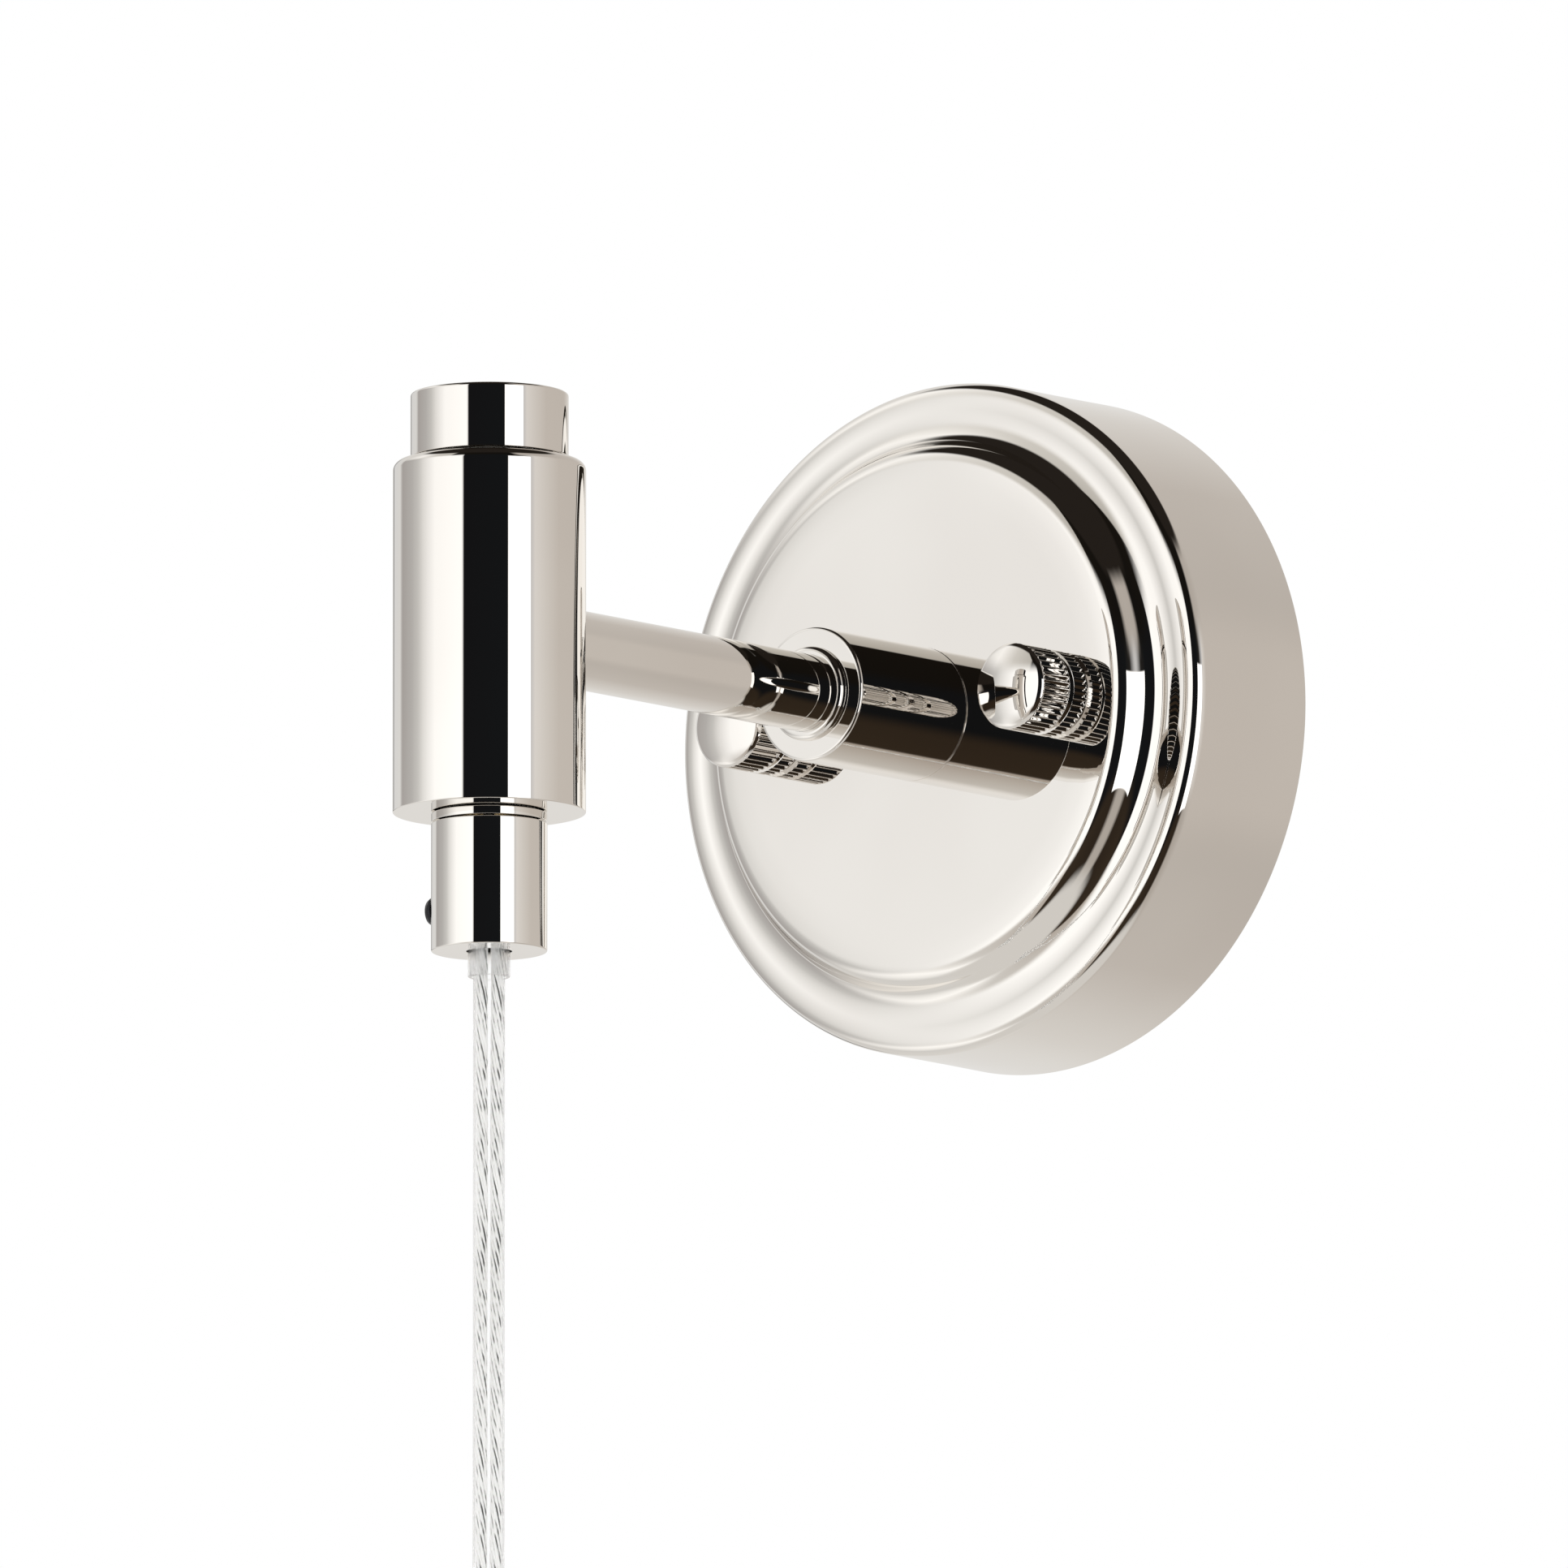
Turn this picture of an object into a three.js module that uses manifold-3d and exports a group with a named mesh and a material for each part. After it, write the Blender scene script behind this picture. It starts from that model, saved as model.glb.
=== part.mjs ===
import * as THREE from "three";
import * as BufferGeometryUtils from "three/addons/utils/BufferGeometryUtils.js";
import Module from "manifold-3d";

// A round wall plate with a short fixed arm. The arm ends in an upright barrel, and a hollow
// spindle swivels in the barrel. A clear flat cord leaves the spindle's collar, hangs straight
// down, and its spare length is tied in a coil with the plug beside it.
// Millimetres, +Z up. The wall is the plane y = 0, the room is at -Y, and the origin is the
// centre of the plate on the wall. Distances out from the wall are written as positive numbers.

const wasm = await Module();
wasm.setup();

// ---------------------------------------------------------------- driving dimensions
const GAP = 0.3; // clearance between pieces that touch
const RUNNING_GAP = 0.08; // between the spindle and its bushings
const CRISP_EDGE = 0.2; // small chamfer on a turned edge
const SHEET = 1.2; // spun brass wall of the canopy

const CANOPY_R = 64.4; // at the wall
const CANOPY_FRONT_R = 64.3; // where the front edge starts to round
const DISC_FACE = 38.4;
// The canopy's front, from the drum's edge inward to the disc: the length of each arc, the
// degrees that the surface has turned from facing sideways to facing the room at its end, and
// the straight steps that stand for it. It makes a rounded edge, a ledge, a cove and the
// rounded edge of the raised disc.
const FRONT_ARCS = [
  [1.95, 38, 2], [0.9, 65, 2], [1.05, 80, 1], [2.9, 96.5, 1], [3, 80, 1], [1.9, 65, 1], [1.8, 38, 2],
  [1.7, 24, 1], [1.95, 38, 1], [1.55, 65, 2], [1.65, 85, 1], [3, 88.5, 1], [4, 90, 1],
];

const STUD_X = 34.93; // half of the 2 3/4 inch stud spacing
const STUD_R = 2.0;
const STUD_END = 47;
const STUD_HOLE_R = 2.8; // in the canopy's front
const STRAP = { length: 104, height: 16, thick: 2 };
const SLOT = { x: 20, length: 12, width: 5 };
const GROUND_X = 9.7;
const GROUND_SCREW = { r: 1.6, headR: 3.6, headHigh: 2.3 };
const STUD_NUT = { flats: 8.7, thick: 3.2 };

const NIPPLE = { r: 5, bore: 3.3, from: 27, to: 56 };
const NIPPLE_NUT = { flats: 15.9, thick: 3.4 };
const LOCK_WASHER = { r: 8.4, thick: 0.8 };
const BOSS = { r: 12.8, from: DISC_FACE + GAP, to: 69.4, socket: 57 };
const ARM = { r: 7.4, bore: 6, from: BOSS.socket + GAP, to: 150.5 };
const BEAD = { r: 0.65, outer: 9 }; // the ring round the arm at the boss
const KNOB = { r: 8.2, from: DISC_FACE + GAP, length: 13.6, point: 1.6, flutes: 20, fluteDepth: 0.3 };
const KNOB_INSIDE = { recess: 5.6, recessDeep: 1.4, grooveDeep: 0.8 };

const AXIS_OUT = 162.5; // the swivel axis, out from the wall
const BARREL = { r: 18.2, low: -34.3, high: 32.6, shoulder: 1.8, bore: 8.5, flangeR: 9.6, flangeDeep: 1.5 };
const BUSHING_LENGTH = 11;
const SPINDLE = { r: 6, bore: 4.2, low: -47.5, high: 42.3 };
const CAP = { r: 14.9, low: 33.25, high: 45.5, recess: 2 };
const NECK = { r: 10.95, low: -36.1, high: -34.5 };
const COLLAR = { r: 10.95, low: -60.7, high: -36.4, throat: 4.3 };
const SCREW_Z = -52.4;
const SCREW_TURN = THREE.MathUtils.degToRad(15); // the set screw's side, from the left towards the room
const SCREW = { r: 1.8, holeR: 2.1, headR: 2.85 };
const SLEEVE = { r: 4, bore: 3.35, low: -65.6, high: -48.6 };
const LEAD = { r: 1.05, x: 1.2 }; // the two leads lie side by side, this far from the middle

const CORD = { width: 6, thick: 3.1, top: -48.6 };
const CORD_TURN = THREE.MathUtils.degToRad(40); // its broad side is turned this far from the front
const COIL = { r: 35, z: -261, columnPitch: 6.2, layerPitch: 3.4, columns: 2, layers: 4 };
const TAIL_X = 9.8; // the cord's last stretch lies beside the coil
const PLUG = { top: -299, length: 30, width: 24, thick: 13, bladeLength: 16.5, bladeGap: 12.7 };

// ---------------------------------------------------------------- finishes
const finish = (color, roughness, metalness, opacity = 1) =>
  new THREE.MeshStandardMaterial({ color, roughness, metalness, opacity, transparent: opacity < 1 });
const nickel = finish(0xd9d4cc, 0.05, 1);
const zinc = finish(0xa9a9a6, 0.4, 1);
const brass = finish(0xb99752, 0.3, 1);
const springSteel = finish(0x8a8c8e, 0.35, 1);
const blackSteel = finish(0x222224, 0.35, 1);
const greenSteel = finish(0x2f7a45, 0.4, 0.6);
const nylon = finish(0xe8e6df, 0.5, 0);
const clearVinyl = finish(0xe4e6e6, 0.15, 0, 0.5);
const wireJacket = finish(0xd8d8d4, 0.4, 0);
const connectorPlastic = finish(0xc9702c, 0.45, 0);
const tiePlastic = finish(0xf2f2ee, 0.5, 0);

// ---------------------------------------------------------------- shaping helpers
const group = new THREE.Group(); // what the wall holds
const armEnd = new THREE.Group(); // fixed pieces round the swivel axis
armEnd.position.set(0, -AXIS_OUT, 0);
const swivel = new THREE.Group(); // what turns with the spindle
swivel.position.copy(armEnd.position);
const cordGroup = new THREE.Group();
cordGroup.rotation.z = CORD_TURN;
swivel.add(cordGroup);
group.add(armEnd, swivel);

function add(parent, name, geometry, material) {
  const mesh = new THREE.Mesh(geometry, material);
  mesh.name = name;
  parent.add(mesh);
  return mesh;
}

// A turned piece from [radius, height] corners. An outline off the axis is closed on itself.
function turned(corners, segments = 36) {
  const points = corners.map(([r, h]) => new THREE.Vector2(r, h));
  if (THREE.ShapeUtils.area(points) < 0) points.reverse();
  const onAxis = points[0].x === 0 && points.at(-1).x === 0;
  if (!onAxis) points.push(points[0].clone());
  return new THREE.LatheGeometry(points, segments);
}

const tube = (outer, bore, low, high, segments) =>
  turned([[bore, low], [outer, low], [outer, high], [bore, high]], segments);

// Points of a quarter round, from one angle to another.
function rounding(r, h, radius, fromDegrees, toDegrees, steps = 3) {
  return Array.from({ length: steps + 1 }, (_, i) => {
    const a = THREE.MathUtils.degToRad(fromDegrees + ((toDegrees - fromDegrees) * i) / steps);
    return [r + radius * Math.cos(a), h + radius * Math.sin(a)];
  });
}

// Turned pieces are made round +Y. These lay the axis out from the wall, or upright.
function outward(mesh, x = 0) {
  mesh.rotation.z = Math.PI;
  mesh.position.x = x;
  return mesh;
}

function upright(mesh) {
  mesh.rotation.x = Math.PI / 2;
  return mesh;
}

function hexNut(acrossFlats, holeR, thick) {
  const corner = acrossFlats / Math.sqrt(3);
  const shape = new THREE.Shape(
    Array.from({ length: 6 }, (_, i) => new THREE.Vector2(
      corner * Math.cos((i * Math.PI) / 3), corner * Math.sin((i * Math.PI) / 3),
    )),
  );
  shape.holes.push(new THREE.Path().absarc(0, 0, holeR, 0, 2 * Math.PI, true));
  return new THREE.ExtrudeGeometry(shape, { depth: thick, bevelEnabled: false, curveSegments: 12 });
}

function solidOf(geometry) {
  const bare = geometry.clone();
  bare.deleteAttribute("normal");
  bare.deleteAttribute("uv");
  const merged = BufferGeometryUtils.mergeVertices(bare, 1e-4);
  return new wasm.Manifold(new wasm.Mesh({
    numProp: 3,
    vertProperties: new Float32Array(merged.attributes.position.array),
    triVerts: new Uint32Array(merged.index.array),
  }));
}

// The body with each tool cut away.
function cut(body, ...tools) {
  const solid = tools.reduce((left, tool) => left.subtract(solidOf(tool)), solidOf(body));
  const mesh = solid.getMesh();
  const geometry = new THREE.BufferGeometry();
  geometry.setAttribute("position", new THREE.BufferAttribute(new Float32Array(mesh.vertProperties), 3));
  geometry.setIndex(new THREE.BufferAttribute(new Uint32Array(mesh.triVerts), 1));
  geometry.computeVertexNormals();
  return geometry;
}

// A tube or flat strip that follows points through space.
function swept(shape, points, steps, curveSegments = 2) {
  const path = new THREE.CatmullRomCurve3(points.map((p) => new THREE.Vector3(...p)), false, "centripetal");
  return new THREE.ExtrudeGeometry(shape, { steps, extrudePath: path, curveSegments });
}

const roundShape = (r) => new THREE.Shape().absarc(0, 0, r, 0, 2 * Math.PI, false);

// The flat cord's section: two half rounds, its width along the shape's y.
function cordShape() {
  const r = CORD.thick / 2;
  const centre = CORD.width / 2 - r;
  const half = (sign) => rounding(0, sign * centre, r, sign > 0 ? 0 : 180, sign > 0 ? 180 : 360, 5);
  return new THREE.Shape([...half(1), ...half(-1)].map(([x, y]) => new THREE.Vector2(x, y)));
}

// ---------------------------------------------------------------- wall plate
// [radius, height, facing in degrees] along the front, with the disc's face at its height.
function frontLine() {
  let [r, h, facing] = [CANOPY_FRONT_R, 0, 0];
  const line = [[r, h, facing]];
  for (const [length, end, steps] of FRONT_ARCS) {
    const turn = (end - facing) / steps;
    for (let i = 0; i < steps; i += 1) {
      const middle = THREE.MathUtils.degToRad(facing + turn / 2);
      r -= (Math.sin(middle) * length) / steps;
      h += (Math.cos(middle) * length) / steps;
      facing += turn;
      line.push([r, h, facing]);
    }
  }
  return line.map(([radius, height, angle]) => [radius, height + DISC_FACE - h, angle]);
}

function canopyGeometry() {
  const line = frontLine();
  const inside = line.map(([r, h, facing]) => {
    const a = THREE.MathUtils.degToRad(facing);
    return [r - SHEET * Math.cos(a), h - SHEET * Math.sin(a)];
  }).filter((_, i) => i % 2 === 0).reverse();
  const bore = NIPPLE.r + GAP;
  const shell = turned([
    [CANOPY_R, 0], ...line.map(([r, h]) => [r, h]), [bore, DISC_FACE],
    [bore, DISC_FACE - SHEET], ...inside, [CANOPY_R - SHEET, 0],
  ], 60);
  const holes = [-STUD_X, STUD_X].map((x) =>
    new THREE.CylinderGeometry(STUD_HOLE_R, STUD_HOLE_R, 8, 20).translate(x, DISC_FACE - SHEET / 2, 0));
  return cut(shell, ...holes);
}

function strapGeometry() {
  const { length, height, thick } = STRAP;
  const end = length / 2 - height / 2;
  const shape = new THREE.Shape();
  shape.absarc(end, 0, height / 2, -Math.PI / 2, Math.PI / 2, false);
  shape.absarc(-end, 0, height / 2, Math.PI / 2, 1.5 * Math.PI, false);
  const round = (x, r) => shape.holes.push(new THREE.Path().absarc(x, 0, r, 0, 2 * Math.PI, true));
  [-STUD_X, STUD_X].forEach((x) => round(x, STUD_R + GAP));
  round(0, 5.5);
  round(GROUND_X, 1.9);
  for (const side of [-1, 1]) {
    const slotEnd = SLOT.length / 2 - SLOT.width / 2;
    const slot = new THREE.Path();
    slot.absarc(side * SLOT.x - slotEnd, 0, SLOT.width / 2, 1.5 * Math.PI, Math.PI / 2, true);
    slot.absarc(side * SLOT.x + slotEnd, 0, SLOT.width / 2, Math.PI / 2, -Math.PI / 2, true);
    shape.holes.push(slot);
  }
  return new THREE.ExtrudeGeometry(shape, { depth: thick, bevelEnabled: false, curveSegments: 10 });
}

// An extruded piece is made along +Z, and this lays it out from the wall.
function plateOutward(mesh, from, x = 0) {
  mesh.rotation.x = Math.PI / 2;
  mesh.position.set(x, -from, 0);
  return mesh;
}

function addWallPlate() {
  outward(add(group, "canopy", canopyGeometry(), nickel));
  plateOutward(add(group, "mounting_strap", strapGeometry(), zinc), 0);
  const headTop = STRAP.thick + GROUND_SCREW.headHigh;
  const groundScrew = turned([
    [0, CRISP_EDGE], [GROUND_SCREW.r, CRISP_EDGE], [GROUND_SCREW.r, STRAP.thick + GAP],
    [GROUND_SCREW.headR, STRAP.thick + GAP], [GROUND_SCREW.headR, headTop - 0.5],
    [GROUND_SCREW.headR - 0.8, headTop], [0, headTop],
  ], 20);
  outward(add(group, "ground_screw", groundScrew, greenSteel), GROUND_X);
  for (const [side, x] of [["left", -STUD_X], ["right", STUD_X]]) {
    const stud = turned([
      [0, 0.1], [STUD_R, 0.1], [STUD_R, STUD_END - 0.8], [STUD_R - 0.6, STUD_END], [0, STUD_END],
    ], 20);
    outward(add(group, `stud_${side}`, stud, zinc), x);
    const nut = add(group, `stud_nut_${side}`, hexNut(STUD_NUT.flats, STUD_R + GAP, STUD_NUT.thick), zinc);
    plateOutward(nut, STRAP.thick + GAP, x);
  }
  outward(add(group, "threaded_nipple", tube(NIPPLE.r, NIPPLE.bore, NIPPLE.from, NIPPLE.to, 32), brass));
  const inside = DISC_FACE - SHEET;
  const washerBack = inside - GAP - LOCK_WASHER.thick;
  const washer = tube(LOCK_WASHER.r, NIPPLE.r + GAP, washerBack, inside - GAP, 32);
  outward(add(group, "lock_washer", washer, springSteel));
  const nut = add(group, "nipple_nut", hexNut(NIPPLE_NUT.flats, NIPPLE.r + GAP, NIPPLE_NUT.thick), brass);
  plateOutward(nut, washerBack - GAP - NIPPLE_NUT.thick);
}

// ---------------------------------------------------------------- boss and arm
function addArm() {
  const { r, from, to, socket } = BOSS;
  const socketR = ARM.r + GAP;
  const nippleR = NIPPLE.r + GAP;
  const boss = turned([
    [nippleR, from], [r - 0.4, from], [r, from + 0.4], [r, to - 0.7], [r - 0.7, to],
    [socketR, to], [socketR, socket], [nippleR, socket],
  ]);
  outward(add(group, "boss", boss, nickel));
  outward(add(group, "arm_tube", tube(ARM.r, ARM.bore, ARM.from, ARM.to), nickel));
  const bead = turned([
    [socketR, to + GAP], [BEAD.outer, to + GAP],
    ...rounding(BEAD.outer - BEAD.r, to + GAP + BEAD.r, BEAD.r, 0, 90, 3), [socketR, to + GAP + 2 * BEAD.r],
  ]);
  outward(add(group, "arm_ring", bead, nickel));
}

// ---------------------------------------------------------------- barrel and its bushings
function addBarrel() {
  const { r, low, high, shoulder, bore, flangeR, flangeDeep } = BARREL;
  const body = turned([
    [flangeR, low], [r - CRISP_EDGE, low], [r, low + CRISP_EDGE],
    ...rounding(r - shoulder, high - shoulder, shoulder, 0, 90, 3),
    [bore, high], [bore, low + flangeDeep], [flangeR, low + flangeDeep],
  ]);
  const across = (radius, near, far) =>
    new THREE.CylinderGeometry(radius, radius, far - near, 32)
      .rotateX(Math.PI / 2)
      .translate(0, 0, -(near + far) / 2);
  const armPocket = across(ARM.r + GAP, AXIS_OUT - ARM.to - GAP, r + 5);
  const leadPassage = across(3.6, 4, r);
  upright(add(armEnd, "barrel", cut(body, armPocket, leadPassage), nickel));

  const running = SPINDLE.r + RUNNING_GAP;
  const upper = turned([
    [running, high - BUSHING_LENGTH], [bore - GAP, high - BUSHING_LENGTH], [bore - GAP, high + GAP],
    [flangeR - 0.2, high + GAP], [flangeR - 0.2, high + 0.9], [running, high + 0.9],
  ]);
  upright(add(armEnd, "upper_bushing", upper, nylon));
  const lower = turned([
    [running, low + BUSHING_LENGTH], [bore - GAP, low + BUSHING_LENGTH], [bore - GAP, low + flangeDeep - GAP],
    [flangeR - GAP, low + flangeDeep - GAP], [flangeR - GAP, low - 0.05], [running, low - 0.05],
  ]);
  upright(add(armEnd, "lower_bushing", lower, nylon));
  const grommet = tube(3.3, 2.5, ARM.to + GAP, AXIS_OUT - 7, 20);
  outward(add(group, "wire_grommet", grommet, nylon));
}

// ---------------------------------------------------------------- leads inside
function addLeads() {
  for (const [name, side] of [["left", -1], ["right", 1]]) {
    const x = side * LEAD.x;
    const lead = swept(roundShape(LEAD.r), [
      [x, -(AXIS_OUT - 7.4), 0], [x, -110, 0], [x, -70, 0],
      [x, -40, 0], [side * 1.4, -25, 0.6], [side * 2.4, -18, 4], [side * 5, -15, 9],
      [side * 7, -15, 15],
    ], 30);
    add(group, `lead_${name}`, lead, wireJacket);
    const connector = turned([
      [1.6, 14.5], [4.8, 14.5], [5.2, 18], [3.6, 31], [2.6, 33], [0, 33], [0, 24], [1.6, 24],
    ], 16);
    upright(add(group, `wire_connector_${name}`, connector, connectorPlastic)).position.set(side * 7, -15, 0);
    const spindleLead = swept(roundShape(LEAD.r), [
      [x, 0, SLEEVE.high + 2 * GAP], [x, 0, -30], [x, 0, -10], [x, 0, -1],
    ], 10);
    add(swivel, `spindle_lead_${name}`, spindleLead, wireJacket);
  }
}

// ---------------------------------------------------------------- spindle, cap and collar
function addSpindle() {
  const window = new THREE.BoxGeometry(5, 9, 6).translate(0, 0, -5);
  const pinHole = new THREE.CylinderGeometry(1.2, 1.2, 6, 16).rotateX(Math.PI / 2).translate(0, 0, 5);
  const body = tube(SPINDLE.r, SPINDLE.bore, SPINDLE.low, SPINDLE.high);
  upright(add(swivel, "spindle", cut(body, window, pinHole), brass));
  const pin = turned([[0, 4.4], [0.95, 4.4], [0.95, 7.6], [0.6, 8], [0, 8]], 16);
  outward(add(swivel, "stop_pin", pin, springSteel));

  const seat = SPINDLE.r + GAP;
  const cap = turned([
    [0, SPINDLE.high + 0.5], [seat, SPINDLE.high + 0.5], [seat, CAP.low + CAP.recess],
    [9.8, CAP.low + CAP.recess],
    [9.8, CAP.low], [CAP.r, CAP.low], [CAP.r, CAP.high - 0.6], [CAP.r - 0.6, CAP.high], [0, CAP.high],
  ]);
  upright(add(swivel, "cap", cap, nickel));
  upright(add(swivel, "friction_washer", tube(9.5, 6.4, CAP.low + 0.6, CAP.low + 1.7), springSteel));
  upright(add(swivel, "neck_ring", tube(NECK.r, seat, NECK.low, NECK.high), nickel));

  const { r, low, high, throat } = COLLAR;
  const collar = turned([
    [throat, low], [r - 0.3, low], [r, low + 0.3], [r, high], [seat, high],
    [seat, SPINDLE.low - 0.5], [throat, SPINDLE.low - 0.5],
  ]);
  const screwHole = new THREE.CylinderGeometry(SCREW.holeR, SCREW.holeR, r, 20)
    .rotateZ(Math.PI / 2)
    .translate(-r / 2 - 2, SCREW_Z, 0)
    .rotateY(SCREW_TURN);
  upright(add(swivel, "collar", cut(collar, screwHole), nickel));
  const screw = add(swivel, "set_screw", turned([
    [0, SLEEVE.r + GAP], [SCREW.r, SLEEVE.r + GAP], [SCREW.r, r + 0.1], [SCREW.headR, r + 0.1],
    [2.6, r + 1], [1.9, r + 1.6], [1.1, r + 1.8], [1.1, r + 0.9], [0, r + 0.9],
  ], 20), blackSteel);
  screw.rotation.z = Math.PI / 2 + SCREW_TURN;
  screw.position.z = SCREW_Z;
}

// ---------------------------------------------------------------- cord, coil and plug
// The cord's own frame: x across its width, y through its thickness, z up.
function addCord() {
  const sleeve = tube(SLEEVE.r, SLEEVE.bore, SLEEVE.low, SLEEVE.high, 24);
  upright(add(cordGroup, "cord_sleeve", sleeve, clearVinyl));

  const drop = [
    [0, 0, CORD.top], [0, 0, -60], [0, 0, -75], [0, 0, -90], [0, 0, -105], [0, 0, -120],
    [0, 0, -135], [0, 0, -150], [0, 0, -165], [0, 0, -184], [0.3, 0.8, -193.4],
    [1, 3.2, -202.4], [1.9, 7.2, -211], [2.6, 12, -217.9],
  ];
  add(cordGroup, "cord", swept(cordShape(), drop, 18, 1), clearVinyl);

  const halfWidth = (COIL.columns * COIL.columnPitch) / 2 + 0.2;
  const halfDepth = (COIL.layers * COIL.layerPitch) / 2;
  const ring = turned([
    [COIL.r - halfDepth, 1 - halfWidth], [COIL.r - halfDepth + 1, -halfWidth],
    [COIL.r + halfDepth - 1, -halfWidth], [COIL.r + halfDepth, 1 - halfWidth],
    [COIL.r + halfDepth, halfWidth - 1], [COIL.r + halfDepth - 1, halfWidth],
    [COIL.r - halfDepth + 1, halfWidth], [COIL.r - halfDepth, halfWidth - 1],
  ], 48);
  const coil = add(cordGroup, "cord_coil", ring, clearVinyl);
  coil.rotation.z = Math.PI / 2;
  coil.position.z = COIL.z;

  const tailY = COIL.r - 1.5 * COIL.layerPitch;
  const tail = [
    [TAIL_X, tailY, COIL.z - 9], [TAIL_X, tailY, COIL.z - 20], [TAIL_X, tailY, COIL.z - 30],
    [TAIL_X, tailY, PLUG.top + GAP],
  ];
  add(cordGroup, "cord_tail", swept(cordShape(), tail, 4, 1), clearVinyl);

  const { length, width, thick, bladeLength, bladeGap } = PLUG;
  const outline = new THREE.Shape([
    [-4.2, 0], [4.2, 0], [5.4, -7], [width / 2 - 1, -13], [width / 2, -15], [width / 2, -length + 1],
    [width / 2 - 1, -length], [1 - width / 2, -length], [-width / 2, 1 - length], [-width / 2, -15],
    [1 - width / 2, -13], [-5.4, -7],
  ].map(([x, y]) => new THREE.Vector2(x, y)));
  const bodyGeometry = new THREE.ExtrudeGeometry(outline, {
    depth: thick - 2, bevelThickness: 1, bevelSize: 0.8, bevelOffset: -0.8, bevelSegments: 2,
  });
  const plug = new THREE.Group();
  plug.position.set(TAIL_X, tailY, PLUG.top);
  cordGroup.add(plug);
  const body = add(plug, "plug_body", bodyGeometry, clearVinyl);
  body.rotation.x = Math.PI / 2;
  body.position.y = thick / 2 - 1;
  for (const [name, side, bladeWidth] of [["neutral", -1, 7.9], ["line", 1, 6.35]]) {
    const blade = new THREE.ExtrudeGeometry(new THREE.Shape([
      [-bladeWidth / 2, 0], [bladeWidth / 2, 0], [bladeWidth / 2, 2 - bladeLength],
      [bladeWidth / 2 - 1.5, -bladeLength], [1.5 - bladeWidth / 2, -bladeLength],
      [-bladeWidth / 2, 2 - bladeLength],
    ].map(([x, y]) => new THREE.Vector2(x, y))), { depth: 1.5, bevelEnabled: false });
    const mesh = add(plug, `plug_blade_${name}`, blade, brass);
    mesh.rotation.set(Math.PI / 2, Math.PI / 2, 0);
    mesh.position.set((side * bladeGap) / 2 - 0.75, 0, -length - GAP);
  }
}

// A band round the coil where the hanging cord joins it.
function addTie() {
  const halfWidth = (COIL.columns * COIL.columnPitch) / 2 + 0.2 + GAP;
  const halfDepth = (COIL.layers * COIL.layerPitch) / 2 + 2 * GAP;
  const band = 1.2;
  const box = (x, y) => [[-x, -y], [x, -y], [x, y], [-x, y]].map(([a, b]) => new THREE.Vector2(a, b));
  const shape = new THREE.Shape(box(halfWidth + band, halfDepth + band));
  shape.holes.push(new THREE.Path(box(halfWidth, halfDepth).reverse()));
  const geometry = new THREE.ExtrudeGeometry(shape, { depth: 6, bevelEnabled: false }).translate(0, 0, -3);
  const angle = THREE.MathUtils.degToRad(48); // round from the coil's top
  const tie = add(cordGroup, "coil_tie", geometry, tiePlastic);
  tie.position.set(0, COIL.r * Math.sin(angle), COIL.z + COIL.r * Math.cos(angle));
  tie.rotation.x = Math.PI / 2 - angle;
}

// ---------------------------------------------------------------- knurled cap nuts
// A knurled cap nut: a short and a long fluted band, with a groove between them and a slightly
// domed front. Every second corner of a band is drawn in to make the flutes.
function knobGeometry() {
  const { r, from, length, point, flutes, fluteDepth } = KNOB;
  const face = from + length;
  const bore = STUD_R + GAP;
  const { recess, recessDeep, grooveDeep } = KNOB_INSIDE;
  const grooveR = r - grooveDeep;
  const geometry = turned([
    [recess, from], [r - 0.5, from], [r, from + 0.5], [r, from + 4.2], [grooveR, from + 4.5],
    [grooveR, from + 5.1], [r, from + 5.4], [r, face - 0.6], [r - 0.4, face],
    [5.2, face + 0.56 * point], [2.6, face + 0.89 * point], [0, face + point],
    [0, STUD_END + 1], [bore, STUD_END + 1], [bore, from + recessDeep], [recess, from + recessDeep],
  ], 2 * flutes);
  const position = geometry.attributes.position;
  for (let i = 0; i < position.count; i += 1) {
    const x = position.getX(i);
    const z = position.getZ(i);
    const corner = Math.round((Math.atan2(x, z) / Math.PI) * flutes);
    if (Math.hypot(x, z) > r - 0.05 && corner % 2 !== 0) {
      const scale = (r - fluteDepth) / r;
      position.setX(i, x * scale);
      position.setZ(i, z * scale);
    }
  }
  return geometry;
}

function addKnobs() {
  for (const [side, x] of [["left", -STUD_X], ["right", STUD_X]]) {
    outward(add(group, `knob_${side}`, knobGeometry(), nickel), x);
    const washer = tube(5.2, STUD_R + GAP, KNOB.from, KNOB.from + 1, 20);
    outward(add(group, `knob_washer_${side}`, washer, nylon), x);
  }
}

addWallPlate();
addArm();
addBarrel();
addLeads();
addSpindle();
addCord();
addTie();
addKnobs();

export default group;
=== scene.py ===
"""A wall sconce with a short arm, an upright swivel barrel and a clear hanging cord.

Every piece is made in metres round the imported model, which gives the places and the bodies.
Sizes in the classes are millimetres, and MM turns them into metres.
"""

import logging
import math
from collections.abc import Callable
from dataclasses import dataclass
from enum import Enum
from functools import cache

import bmesh
import bpy
from mathutils import Matrix, Vector, noise


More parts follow.
